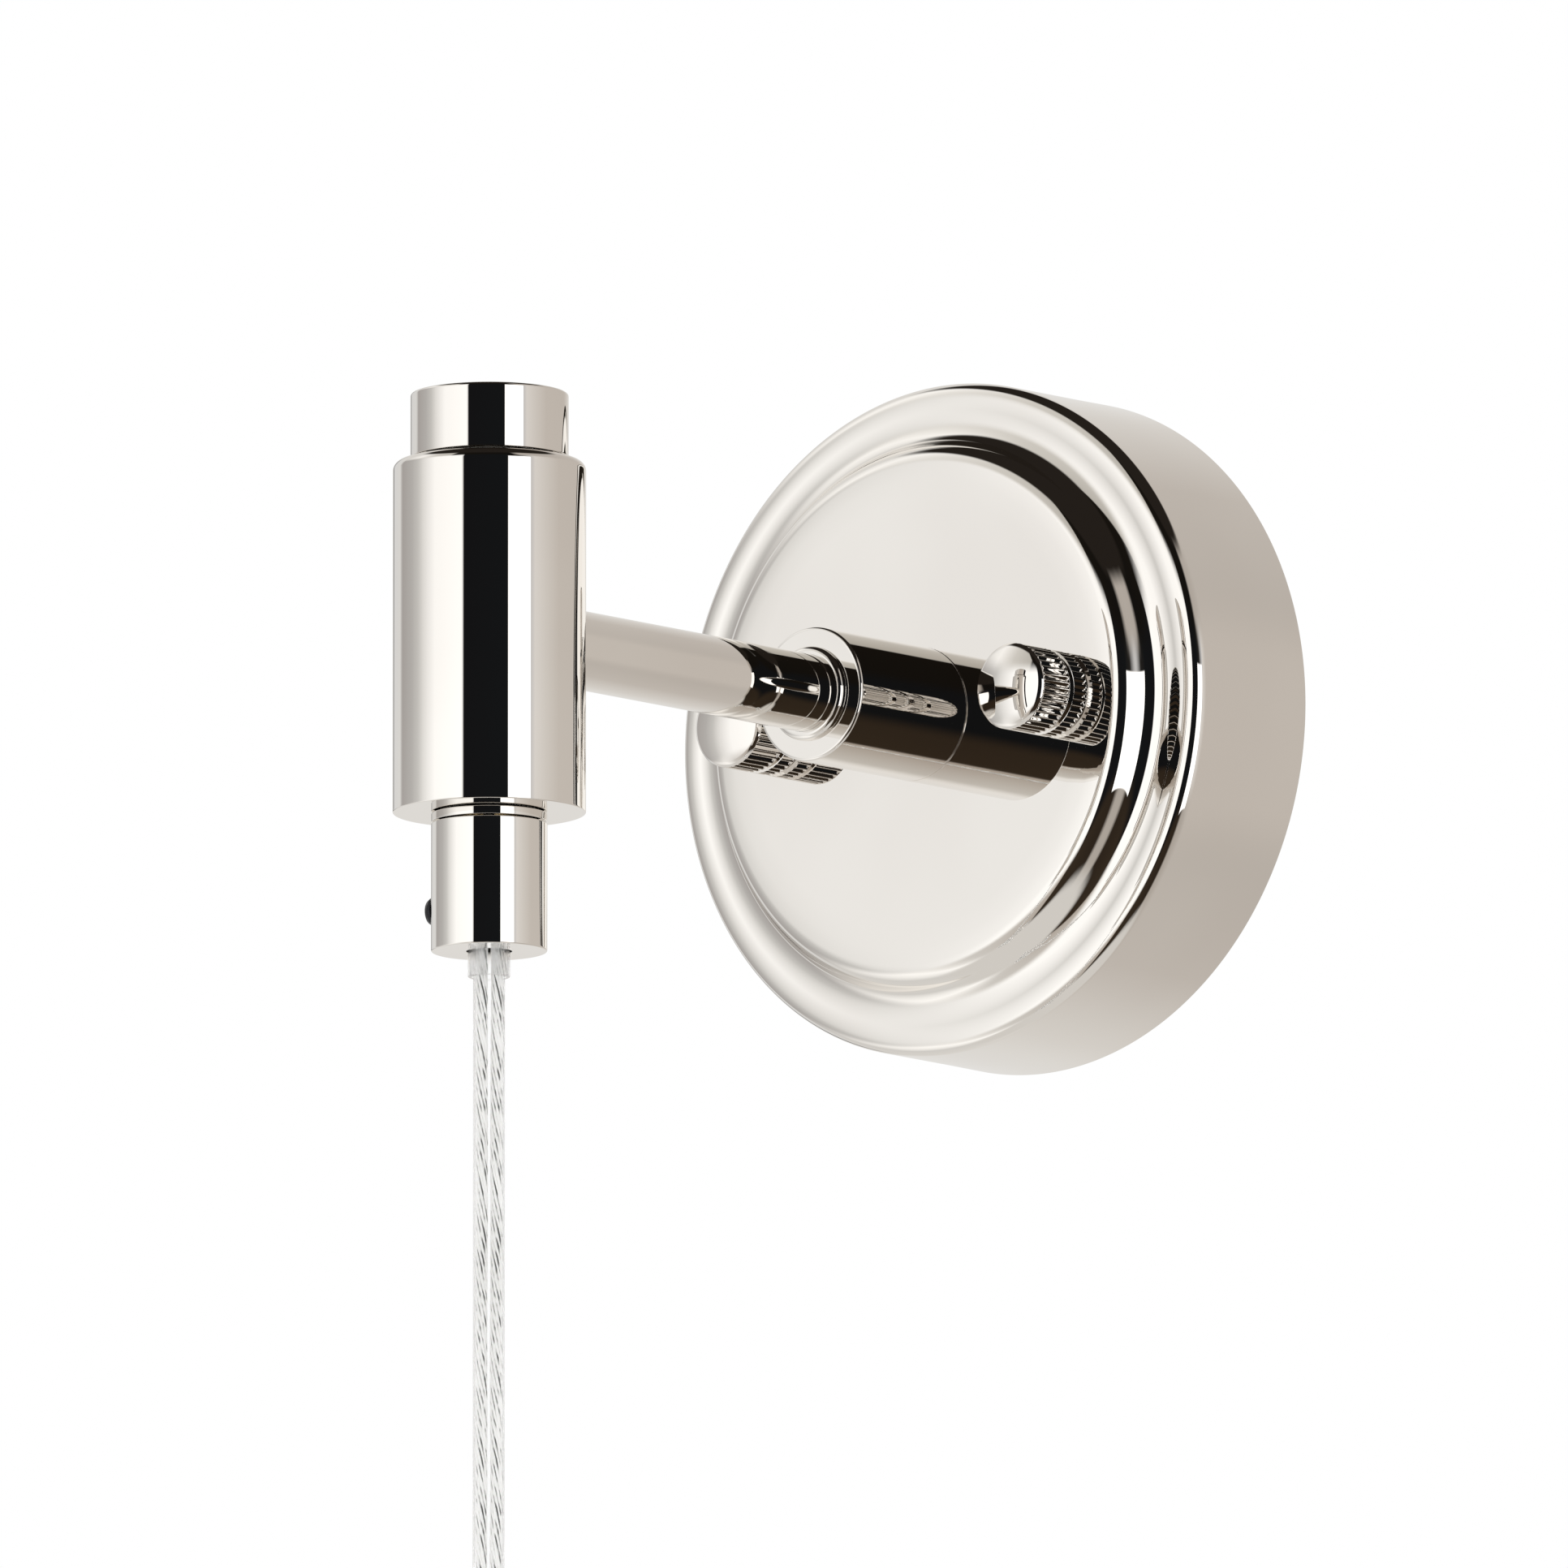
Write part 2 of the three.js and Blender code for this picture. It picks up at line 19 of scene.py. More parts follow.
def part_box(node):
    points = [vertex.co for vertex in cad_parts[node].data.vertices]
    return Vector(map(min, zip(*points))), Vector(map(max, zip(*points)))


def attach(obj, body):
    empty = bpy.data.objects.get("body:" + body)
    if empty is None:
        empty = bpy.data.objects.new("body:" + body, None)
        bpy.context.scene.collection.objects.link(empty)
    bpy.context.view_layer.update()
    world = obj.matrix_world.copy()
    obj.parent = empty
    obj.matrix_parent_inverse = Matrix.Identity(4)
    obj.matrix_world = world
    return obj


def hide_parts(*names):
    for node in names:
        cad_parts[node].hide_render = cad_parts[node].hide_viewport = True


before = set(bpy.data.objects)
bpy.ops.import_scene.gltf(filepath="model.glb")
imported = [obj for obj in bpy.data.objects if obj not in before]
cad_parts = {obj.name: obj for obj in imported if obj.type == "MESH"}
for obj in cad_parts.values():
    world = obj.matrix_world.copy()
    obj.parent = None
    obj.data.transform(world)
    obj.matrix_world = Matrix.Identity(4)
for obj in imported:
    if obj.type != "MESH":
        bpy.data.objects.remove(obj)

LOG = logging.getLogger("sconce")
MM = 0.001
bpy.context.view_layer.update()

# Sizes that more than one class uses, in millimetres.
AXIS_OUT = 162.5  # the swivel's axis, out from the wall
STUD_X = 34.93  # each stud's axis, to the side of the middle
LEAD_R = 1.05
LEAD_X = 1.2
LEAD_SIDES = 14
SIDES = ((-1, "left"), (1, "right"))

Point = tuple[float, float]


class Body(str, Enum):
    """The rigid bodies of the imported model."""

    WALL = "wall_plate"
    SPINDLE = "spindle_swivel"
    LEFT_WASHER = "left_knob_washer"
    LEFT_KNOB = "left_knob"
    RIGHT_WASHER = "right_knob_washer"
    RIGHT_KNOB = "right_knob"


class Slot(str, Enum):
    """The record's material slots."""

    NICKEL = "polished_nickel"
    ZINC = "zinc_steel"
    GREEN = "green_steel"
    BRASS = "brass"
    SPRING = "spring_steel"
    BLACK = "black_steel"
    NYLON = "nylon"
    WIRE = "wire_jacket"
    CONNECTOR = "connector_plastic"
    VINYL = "clear_vinyl"
    COPPER = "tinned_copper"
    TIE = "tie_plastic"


# ---------------------------------------------------------------- shader writing


class Value:
    """A number socket that takes part in Python sums."""

    def __init__(self, tree: "NodeTree", socket: bpy.types.NodeSocket) -> None:
        """Wraps one output socket of a tree."""
        self.tree = tree
        self.socket = socket

    def _math(self, operation: str, *others: object) -> "Value":
        """Adds a Math node on this value and the others."""
        node = self.tree.node("ShaderNodeMath", {"operation": operation}, [self, *others])
        return Value(self.tree, node.outputs[0])

    def __add__(self, other: object) -> "Value":
        """Sum."""
        return self._math("ADD", other)

    __radd__ = __add__

    def __mul__(self, other: object) -> "Value":
        """Product."""
        return self._math("MULTIPLY", other)

    __rmul__ = __mul__

    def __sub__(self, other: object) -> "Value":
        """Difference."""
        return self._math("SUBTRACT", other)

    def __rsub__(self, other: float) -> "Value":
        """Difference from a plain number."""
        return self._math("MULTIPLY", -1.0)._math("ADD", other)

    def __truediv__(self, other: object) -> "Value":
        """Quotient."""
        return self._math("DIVIDE", other)

    def atan2(self, other: object) -> "Value":
        """The angle of (other, self), in radians."""
        return self._math("ARCTAN2", other)

    def away_from_whole(self) -> "Value":
        """How far the value is from the nearest whole number."""
        return self._math("PINGPONG", 0.5)

    def ramp(self, low: float, high: float, to_low: float = 0.0, to_high: float = 1.0) -> "Value":
        """Eases from one value to another as this one goes from low to high.

        Args:
            low: Where the change starts.
            high: Where it ends.
            to_low: The value before it.
            to_high: The value after it.

        Returns:
            The eased value.
        """
        node = self.tree.node(
            "ShaderNodeMapRange",
            {"interpolation_type": "SMOOTHSTEP"},
            {"Value": self, "From Min": low, "From Max": high, "To Min": to_low, "To Max": to_high},
        )
        return Value(self.tree, node.outputs["Result"])


class NodeTree:
    """Adds nodes to one material's or world's tree."""

    def __init__(self, owner: bpy.types.Material | bpy.types.World) -> None:
        """Clears the owner's tree and starts an empty one.

        Args:
            owner: The material or world whose tree it is.
        """
        owner.use_nodes = True
        self.tree = owner.node_tree
        self.tree.nodes.clear()

    def node(
        self,
        kind: str,
        settings: dict[str, object] | None = None,
        inputs: dict[str, object] | list[object] | None = None,
    ) -> bpy.types.Node:
        """Adds one node.

        Args:
            kind: The node's type name.
            settings: Attributes to set first. A ramp's "stops" are (place, colour) pairs.
            inputs: Values or links, by socket name or in order.

        Returns:
            The new node.
        """
        made = self.tree.nodes.new(kind)
        for name, value in (settings or {}).items():
            if name == "stops":
                self._stops(made, value)
            else:
                setattr(made, name, value)
        pairs = inputs.items() if isinstance(inputs, dict) else enumerate(inputs or [])
        for name, value in pairs:
            socket = made.inputs[name]
            if isinstance(value, Value):
                value = value.socket
            if isinstance(value, bpy.types.NodeSocket):
                self.tree.links.new(value, socket)
            else:
                socket.default_value = value
        return made

    @staticmethod
    def _stops(ramp: bpy.types.Node, stops: list[tuple[float, tuple[float, ...]]]) -> None:
        """Sets a colour ramp's stops.

        Args:
            ramp: The ramp's node.
            stops: The place and the colour of each stop, in order.
        """
        elements = ramp.color_ramp.elements
        while len(elements) < len(stops):
            elements.new(1.0)
        for element, (place, colour) in zip(elements, stops, strict=True):
            element.position = place
            element.color = (*colour, 1.0)

    def value(
        self, kind: str, output: str | int, settings: dict | None = None, inputs: object = None
    ) -> Value:
        """Adds a node and wraps one of its outputs."""
        return Value(self, self.node(kind, settings, inputs).outputs[output])

    def noise(self, place: bpy.types.NodeSocket, scale: float, detail: float = 2.0) -> Value:
        """A noise value from 0 to 1 on a place."""
        return self.value("ShaderNodeTexNoise", 0, None, {"Vector": place, "Scale": scale, "Detail": detail})

    def mix(self, factor: object, first: object, second: object) -> bpy.types.NodeSocket:
        """Mixes two colours."""
        node = self.node("ShaderNodeMix", {"data_type": "RGBA"}, {0: factor, 6: first, 7: second})
        return node.outputs[2]


# ---------------------------------------------------------------- finishes


@dataclass(frozen=True)
class Finish:
    """A surface with fine variation in its colour, gloss and relief."""

    name: str
    colour: tuple[float, float, float]
    second: tuple[float, float, float]
    roughness: tuple[float, float] = (0.3, 0.4)
    metallic: float = 0.0
    grain: float = 400.0  # noise cells per metre
    stretch: tuple[float, float, float] = (1.0, 1.0, 1.0)
    relief: float = 0.00002  # metres
    transmission: float = 0.0
    ior: float = 1.45
    alpha: float = 1.0
    glow: float = 0.0  # painted light: an even glow in place of the light that reaches it through the clear jacket
    strands: int = 0  # painted shade: dark lines in the grooves between this many strands round the "along" map

    @cache
    def material(self) -> bpy.types.Material:
        """Makes the material, the first time that it is asked for.

        Returns:
            The material, the same one each time.
        """
        material = bpy.data.materials.new(self.name)
        tree = NodeTree(material)
        place = tree.node("ShaderNodeTexCoord").outputs["Object"]
        mapped = tree.node("ShaderNodeMapping", None, {"Vector": place, "Scale": self.stretch})
        cells = tree.noise(mapped.outputs[0], self.grain, 3.0)
        paint = self._paint(tree, tree.noise(place, self.grain / 12, 2.0))
        shader = tree.node(
            "ShaderNodeBsdfPrincipled",
            None,
            {
                "Base Color": paint,
                "Roughness": cells.ramp(0.3, 0.7, *self.roughness),
                "Metallic": self.metallic,
                "IOR": self.ior,
                "Transmission Weight": self.transmission,
                "Alpha": self.alpha,
                # Emission paints light into a finish that has a glow.
                "Emission Color": paint,
                "Emission Strength": self.glow,
            },
        )
        if self.relief:
            heights = {"Height": cells, "Distance": self.relief, "Strength": 1.0}
            bump = tree.node("ShaderNodeBump", None, heights)
            tree.tree.links.new(bump.outputs[0], shader.inputs["Normal"])
        tree.node("ShaderNodeOutputMaterial", None, {"Surface": shader.outputs[0]})
        return material

    def _paint(self, tree: NodeTree, broad: Value) -> bpy.types.NodeSocket:
        """The colour, with painted shade: dark lines in the grooves between the strands of a bundle.

        Args:
            tree: The material's tree.
            broad: A slow change from 0 to 1 over the surface.

        Returns:
            The colour socket.
        """
        plain = tree.mix(broad.ramp(0.35, 0.65), (*self.colour, 1), (*self.second, 1))
        if not self.strands:
            return plain
        along = tree.node("ShaderNodeUVMap", {"uv_map": "along"}).outputs[0]
        parts = tree.node("ShaderNodeSeparateXYZ", None, [along])
        round_, far = Value(tree, parts.outputs[0]), Value(tree, parts.outputs[1])
        spot = tree.node("ShaderNodeCombineXYZ", None, [round_ * 6.0, far * 260.0, 0.0]).outputs[0]
        blotch = tree.noise(spot, 1.0, 2.0)
        # Painted shade: the dark colour below goes into the grooves between the strands, broken up by noise.
        between = (round_ * self.strands + 0.5 + (blotch - 0.5) * 0.7).away_from_whole()
        line = between.ramp(0.1, 0.3, 1.0, 0.0) * blotch.ramp(0.4, 0.62, 0.1, 1.0)
        return tree.mix(line, plain, (0.10, 0.10, 0.095, 1))


NICKEL = Finish(
    "mirror_nickel", (0.86, 0.835, 0.80), (0.83, 0.80, 0.765), (0.003, 0.012), 1.0, 220.0, relief=0.0000008
)
NICKEL_INSIDE = Finish(
    "unpolished_nickel", (0.62, 0.6, 0.57), (0.56, 0.54, 0.5), (0.28, 0.42), 1.0, 900.0, relief=0.000006
)
ZINC = Finish("zinc_plate", (0.66, 0.67, 0.68), (0.56, 0.56, 0.55), (0.25, 0.42), 1.0, 700.0, relief=0.000008)
GREEN = Finish("green_plate", (0.05, 0.30, 0.12), (0.04, 0.24, 0.10), (0.25, 0.4), 0.6, 900.0)
BRASS = Finish(
    "turned_brass", (0.80, 0.61, 0.31), (0.70, 0.52, 0.26), (0.18, 0.32), 1.0, 900.0, (1, 1, 6), 0.000006
)
SPRING = Finish("tempered_steel", (0.50, 0.50, 0.52), (0.42, 0.42, 0.44), (0.2, 0.35), 1.0, 900.0)
BLACK = Finish("black_oxide", (0.022, 0.022, 0.026), (0.035, 0.035, 0.04), (0.22, 0.4), 0.7, 1500.0)
NYLON = Finish("natural_nylon", (0.80, 0.79, 0.74), (0.74, 0.73, 0.68), (0.35, 0.5), 0.0, 800.0)
WIRE = Finish("wire_insulation", (0.82, 0.82, 0.80), (0.76, 0.76, 0.74), (0.3, 0.45), 0.0, 900.0)
CONNECTOR = Finish("connector_shell", (0.75, 0.27, 0.05), (0.66, 0.22, 0.04), (0.35, 0.5), 0.0, 900.0)
TIE = Finish("tie_strap", (0.86, 0.86, 0.84), (0.80, 0.80, 0.78), (0.35, 0.5), 0.0, 900.0)
COPPER = Finish(
    "tinned_copper", (0.93, 0.92, 0.90), (0.80, 0.79, 0.77), (0.12, 0.3), 1.0, 1200.0, relief=0.00001
)
STRANDS = Finish(
    "bright_strands", (0.97, 0.965, 0.955), (0.92, 0.915, 0.90), (0.2, 0.35), 0.0, 700.0,
    # strands paints shade as dark lines between the strands; glow paints light on them.
    relief=0.00002, strands=9, glow=0.16,
)
VINYL = Finish(
    "cord_vinyl", (1.0, 1.0, 1.0), (0.985, 0.99, 0.985), (0.0, 0.03), 0.0, 500.0,
    relief=0.000004, transmission=1.0, ior=1.35, alpha=0.45,
)
MILKY = Finish(
    "milky_vinyl", (0.96, 0.965, 0.96), (0.93, 0.935, 0.93), (0.12, 0.2), 0.0, 500.0,
    relief=0.000006, transmission=0.9, ior=1.42,
)


# ---------------------------------------------------------------- shapes


@dataclass(frozen=True)
class Corner:
    """One corner of a half section: its radius and height, and how far it is rounded."""

    r: float
    h: float
    rounding: float = 0.0


@dataclass
class Outline:
    """A half section that is spun into a turned piece."""

    corners: list[Corner]
    closed: bool = False
    arc_steps: int = 7
    support: float = 0.15  # how near a rounding the straight run gets one more point

    def points(self) -> list[Point]:
        """The section's points, with the roundings drawn in.

        Returns:
            Radius and height of each point, in order.
        """
        made: list[Point] = []
        count = len(self.corners)
        for i, corner in enumerate(self.corners):
            at_end = not self.closed and i in (0, count - 1)
            if corner.rounding and not at_end:
                made += self._rounded(self.corners[i - 1], corner, self.corners[(i + 1) % count])
            else:
                made.append((corner.r, corner.h))
        return made

    def _rounded(self, before: Corner, corner: Corner, after: Corner) -> list[Point]:
        """The points of one rounded corner, with a supporting point on each side.

        Args:
            before: The corner before it.
            corner: The corner to round.
            after: The corner after it.

        Returns:
            The points in order.
        """
        here = Vector((corner.r, corner.h))
        back = (Vector((before.r, before.h)) - here).normalized()
        on = (Vector((after.r, after.h)) - here).normalized()
        half = back.angle(on) / 2
        reach = corner.rounding / math.tan(half)
        centre = here + (back + on).normalized() * corner.rounding / math.sin(half)
        start, end = here + back * reach, here + on * reach
        points = [start + back * self.support]
        turn = (start - centre).angle(end - centre)
        for i in range(self.arc_steps + 1):
            share = i / self.arc_steps
            a, b = math.sin((1 - share) * turn), math.sin(share * turn)
            along = ((start - centre) * a + (end - centre) * b) / math.sin(turn)
            points.append(centre + along)
        points.append(end + on * self.support)
        return [(p.x, p.y) for p in points]


def outward(x: float = 0.0) -> Matrix:
    """Lays a turned piece's axis out from the wall, x millimetres to the right."""
    return Matrix.Translation((x * MM, 0, 0)) @ Matrix.Rotation(math.pi / 2, 4, "X")


def upright() -> Matrix:
    """Stands a turned piece on the swivel's axis."""
    return Matrix.Translation((0, -AXIS_OUT * MM, 0))


@dataclass(frozen=True)
class Space:
    """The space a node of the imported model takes, in millimetres."""

    low: Vector
    high: Vector

    @classmethod
    def of(cls, node: str) -> "Space":
        """Reads it from the frame."""
        low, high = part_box(node)
        return cls(low / MM, high / MM)

    @property
    def middle(self) -> Vector:
        """The middle of the space."""
        return (self.low + self.high) / 2

    @property
    def out(self) -> tuple[float, float]:
        """How far out from the wall it starts and ends."""
        return -self.high.y, -self.low.y

    @property
    def heights(self) -> tuple[float, float]:
        """How high up it starts and ends."""
        return self.low.z, self.high.z


@dataclass
class Maker:
    """Turns meshes into finished pieces of one body."""

    body: Body

    def finish(
        self,
        bm: bmesh.types.BMesh,
        name: str,
        finish: Finish,
        slot: Slot,
        replaces: tuple[str, ...] = (),
        smooth: float = 32.0,
    ) -> bpy.types.Object:
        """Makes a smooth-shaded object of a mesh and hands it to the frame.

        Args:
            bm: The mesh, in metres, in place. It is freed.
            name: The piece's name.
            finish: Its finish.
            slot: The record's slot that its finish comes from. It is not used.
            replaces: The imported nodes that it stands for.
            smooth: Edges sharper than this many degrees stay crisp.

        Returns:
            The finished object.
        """
        mesh = bpy.data.meshes.new(name)
        bm.to_mesh(mesh)
        bm.free()
        mesh.shade_smooth()
        mesh.set_sharp_from_angle(angle=math.radians(smooth))
        piece = bpy.data.objects.new(name, mesh)
        bpy.context.scene.collection.objects.link(piece)
        mesh.materials.append(finish.material())
        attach(piece, self.body.value)
        if replaces:
            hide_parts(*replaces)
        LOG.info("%s rides on %s", name, self.body.value)
        return piece

    def turned(
        self,
        name: str,
        outline: Outline,
        place: Matrix,
        finish: Finish = NICKEL,
        slot: Slot = Slot.NICKEL,
        replaces: tuple[str, ...] = (),
        steps: int = 160,
    ) -> bpy.types.Object:
        """Makes a finished piece from a spun outline."""
        return self.finish(spun(outline, place, steps), name, finish, slot, replaces)


def spun(
    outline: Outline,
    place: Matrix,
    steps: int = 160,
    shape: Callable[[Vector], Vector] | None = None,
) -> bmesh.types.BMesh:
    """Spins an outline into a closed mesh.

    Args:
        outline: The half section, in millimetres.
        place: Where the piece goes, in metres.
        steps: Steps round the turn.
        shape: Moves each point of the turned mesh, in millimetres about its own axis.

    Returns:
        The mesh, in metres, in place.
    """
    bm = bmesh.new()
    corners = [bm.verts.new((r * MM, 0, h * MM)) for r, h in outline.points()]
    edges = [bm.edges.new(pair) for pair in zip(corners, corners[1:])]
    if outline.closed:
        edges.append(bm.edges.new((corners[-1], corners[0])))
    bmesh.ops.spin(
        bm, geom=corners + edges, cent=(0, 0, 0), axis=(0, 0, 1), angle=2 * math.pi,
        steps=steps, use_merge=True, use_duplicate=False,
    )
    bmesh.ops.remove_doubles(bm, verts=bm.verts, dist=1e-7)
    if shape:
        for vert in bm.verts:
            vert.co = shape(vert.co / MM) * MM
    bmesh.ops.transform(bm, matrix=place, verts=bm.verts)
    bmesh.ops.recalc_face_normals(bm, faces=bm.faces)
    return bm


def sharp_edges(bm: bmesh.types.BMesh, degrees: float) -> list[bmesh.types.BMEdge]:
    """The edges that are sharper than this many degrees."""
    return [e for e in bm.edges if e.calc_face_angle(0) > math.radians(degrees)]


def round_corners(
    bm: bmesh.types.BMesh, geom: list, offset: float, segments: int, kind: str = "EDGES"
) -> None:
    """Rounds edges, or corners, off.

    Args:
        bm: The mesh.
        geom: The edges or vertices.
        offset: How far from them the rounding starts.
        segments: Steps in the rounding.
        kind: "EDGES" or "VERTICES".
    """
    bmesh.ops.bevel(bm, geom=geom, offset=offset, segments=segments, profile=0.5, affect=kind, material=-1)


def dress(node: str, finish: Finish) -> None:
    """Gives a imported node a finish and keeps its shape.

    Args:
        node: The node's name.
        finish: Its finish.
    """
    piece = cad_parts[node]
    piece.data.materials.clear()
    piece.data.materials.append(finish.material())
    LOG.info("%s keeps its packed shape", node)


def rod(points: list[Vector], radius: float, steps: int) -> bmesh.types.BMesh:
    """Sweeps a round section along points.

    Args:
        points: The path, in metres.
        radius: The section's radius in metres.
        steps: Corners round the section.

    Returns:
        The mesh.
    """
    angles = (2 * math.pi * i / steps for i in range(steps))
    return swept([(radius * math.cos(a), radius * math.sin(a)) for a in angles], points)


def swept(
    section: list[Point],
    points: list[Vector],
    across: list[Vector] | None = None,
    uv_name: str = "",
) -> bmesh.types.BMesh:
    """Lays a grid along points and rolls it up into a closed tube of the given section.

    Args:
        section: The section's corners in metres, across and through.
        points: The path, in metres.
        across: The direction of the section's first axis at each point. Left out, it is carried along.
        uv_name: Gives the faces a UV map of this name, round the section and along the path in metres.

    Returns:
        The mesh.
    """
    bm = bmesh.new()
    round_, far = len(section), len(points) - 1
    bmesh.ops.create_grid(bm, x_segments=round_, y_segments=far, size=1.0)
    frames, along = [], [0.0]
    side = (points[1] - points[0]).orthogonal().normalized()
    for i, point in enumerate(points):
        tangent = (points[min(i + 1, far)] - points[max(i - 1, 0)]).normalized()
        wanted = across[i] if across else side
        side = (wanted - tangent * wanted.dot(tangent)).normalized()
        frames.append((point, side, tangent.cross(side)))
        along.append(along[-1] + (points[min(i + 1, far)] - point).length)
    places = {v: (round((v.co.x + 1) / 2 * round_), round((v.co.y + 1) / 2 * far)) for v in bm.verts}
    if uv_name:
        layer = bm.loops.layers.uv.new(uv_name)
        for face in bm.faces:
            for loop in face.loops:
                k, i = places[loop.vert]
                loop[layer].uv = (k / round_, along[i])
    for vert, (k, i) in places.items():
        point, wide, deep = frames[i]
        x, y = section[k % round_]
        vert.co = point + wide * x + deep * y
    bmesh.ops.remove_doubles(bm, verts=bm.verts, dist=1e-7)
    bmesh.ops.holes_fill(bm, edges=[e for e in bm.edges if e.is_boundary], sides=0)
    bmesh.ops.recalc_face_normals(bm, faces=bm.faces)
    return bm


def smooth_path(points: list[Vector], step: float) -> list[Vector]:
    """Draws a smooth curve through given points and steps evenly along it.

    Args:
        points: The points to pass through, in metres.
        step: About how far apart the returned points are.

    Returns:
        The points of the curve.
    """
    dense: list[Vector] = []
    ends = [2 * points[0] - points[1], *points, 2 * points[-1] - points[-2]]
    for p0, p1, p2, p3 in zip(ends, ends[1:], ends[2:], ends[3:]):
        count = max(2, round((p2 - p1).length / step * 4))
        gaps = [math.sqrt(max((b - a).length, 1e-6)) for a, b in ((p0, p1), (p1, p2), (p2, p3))]
        slope_in = ((p1 - p0) / gaps[0] - (p2 - p0) / (gaps[0] + gaps[1]) + (p2 - p1) / gaps[1]) * gaps[1]
        slope_out = ((p2 - p1) / gaps[1] - (p3 - p1) / (gaps[1] + gaps[2]) + (p3 - p2) / gaps[2]) * gaps[1]
        for i in range(count):
            t = i / count
            dense.append(
                (2 * t**3 - 3 * t**2 + 1) * p1 + (t**3 - 2 * t**2 + t) * slope_in
                + (3 * t**2 - 2 * t**3) * p2 + (t**3 - t**2) * slope_out
            )
    dense.append(points[-1].copy())
    return evenly(dense, step)


def evenly(points: list[Vector], step: float) -> list[Vector]:
    """Steps evenly along a chain of points.

    Args:
        points: The chain.
        step: About how far apart the returned points are.

    Returns:
        The points, from the chain's start to its end.
    """
    total = length_of(points)
    count = max(2, round(total / step))
    made = [points[0].copy()]
    walked, i = 0.0, 0
    for k in range(1, count):
        target = total * k / count
        while walked + (points[i + 1] - points[i]).length < target:
            walked += (points[i + 1] - points[i]).length
            i += 1
        gap = (points[i + 1] - points[i]).length
        made.append(points[i].lerp(points[i + 1], (target - walked) / gap))
    made.append(points[-1].copy())
    return made


def length_of(points: list[Vector]) -> float:
    """How long a chain of points is."""
    return sum((b - a).length for a, b in zip(points, points[1:]))


# ---------------------------------------------------------------- studio


@dataclass
class Studio:
    """The camera, the soft light round the object, and the floor."""

    azimuth: float = 40.3
    elevation: float = -9.2
    distance: float = 12.0
    frame_width: float = 0.2964
    centre_right: float = -0.0497
    centre_up: float = -0.0086
    centre_depth: float = 0.06
    floor_height: float = -2.8
    floor_half: float = 30.0
    # Light round the object by degrees from the front: level with it, above it and below it.
    level: tuple[tuple[float, tuple[float, float, float]], ...] = (
        (-180, (0.60, 0.555, 0.51)), (-152, (0.78, 0.76, 0.73)), (-126, (0.80, 0.79, 0.77)),
        (-123, (0.10, 0.10, 0.10)), (-121, (0.10, 0.10, 0.10)), (-118, (0.74, 0.74, 0.74)),
        (-94, (0.79, 0.79, 0.78)), (-87, (0.44, 0.42, 0.41)), (-66, (0.52, 0.51, 0.50)),
        (-54, (0.65, 0.645, 0.63)), (-45, (0.87, 0.865, 0.85)), (-38, (1.00, 0.995, 0.985)),
        (-28, (1.17, 1.17, 1.16)), (8, (1.25, 1.25, 1.24)), (9.5, (0.008, 0.008, 0.009)),
        (60, (0.008, 0.009, 0.010)), (76, (0.02, 0.018, 0.016)), (90, (0.60, 0.60, 0.61)),
        (97, (0.79, 0.76, 0.73)), (112, (0.71, 0.675, 0.635)), (132, (0.62, 0.575, 0.53)),
        (180, (0.60, 0.555, 0.51)),
    )
    above: tuple[tuple[float, tuple[float, float, float]], ...] = (
        (-180, (0.60, 0.56, 0.52)), (-140, (0.78, 0.76, 0.73)), (-90, (0.80, 0.79, 0.77)),
        (-60, (1.10, 1.09, 1.07)), (-34, (0.72, 0.70, 0.66)), (-9, (0.56, 0.54, 0.50)),
        (-7, (0.010, 0.008, 0.006)), (70, (0.008, 0.007, 0.006)), (80, (0.50, 0.46, 0.42)),
        (180, (0.60, 0.56, 0.52)),
    )
    below: tuple[tuple[float, tuple[float, float, float]], ...] = (
        (-180, (0.60, 0.56, 0.52)), (-140, (0.78, 0.76, 0.73)), (-90, (0.72, 0.71, 0.69)),
        (-48, (1.15, 1.14, 1.12)), (-32, (0.70, 0.68, 0.65)), (0, (0.50, 0.45, 0.40)),
        (3, (0.040, 0.028, 0.018)), (72, (0.030, 0.021, 0.014)), (82, (0.46, 0.42, 0.38)),
        (180, (0.60, 0.56, 0.52)),
    )
    # A bright window: its left and right in degrees, and its lower and upper edge as a height from -1 to 1.
    window: tuple[float, float, float, float] = (63.0, 91.0, -0.44, 0.254)
    window_soft: tuple[float, float] = (0.6, 0.008)
    window_tint: tuple[float, float, float, float] = (1.6, 1.6, 1.6, 1.0)
    zenith: tuple[float, float, float, float] = (0.020, 0.016, 0.013, 1)
    nadir: tuple[float, float, float, float] = (0.72, 0.70, 0.67, 1)

    def build(self) -> None:
        """Makes the camera, the light and the floor."""
        bpy.context.scene.view_settings.view_transform = "Standard"
        self._camera()
        self._world()
        self._floor()

    def _camera(self) -> None:
        """Sets a long lens at the viewing angle."""
        a, e = math.radians(self.azimuth), math.radians(self.elevation)
        right = Vector((math.cos(a), math.sin(a), 0))
        back = Vector((math.sin(a) * math.cos(e), -math.cos(a) * math.cos(e), math.sin(e)))
        up = back.cross(right)
        lens = bpy.data.cameras.new("camera")
        lens.sensor_width = 36.0
        lens.lens = lens.sensor_width * self.distance / self.frame_width
        lens.clip_end = 100.0
        camera = bpy.data.objects.new("camera", lens)
        turn = Matrix((right, up, back)).transposed()
        target = right * self.centre_right + up * self.centre_up + back * self.centre_depth
        camera.matrix_world = Matrix.Translation(target + back * self.distance) @ turn.to_4x4()
        bpy.context.scene.collection.objects.link(camera)
        bpy.context.scene.camera = camera
        LOG.info("camera with a %.0f mm lens", lens.lens)

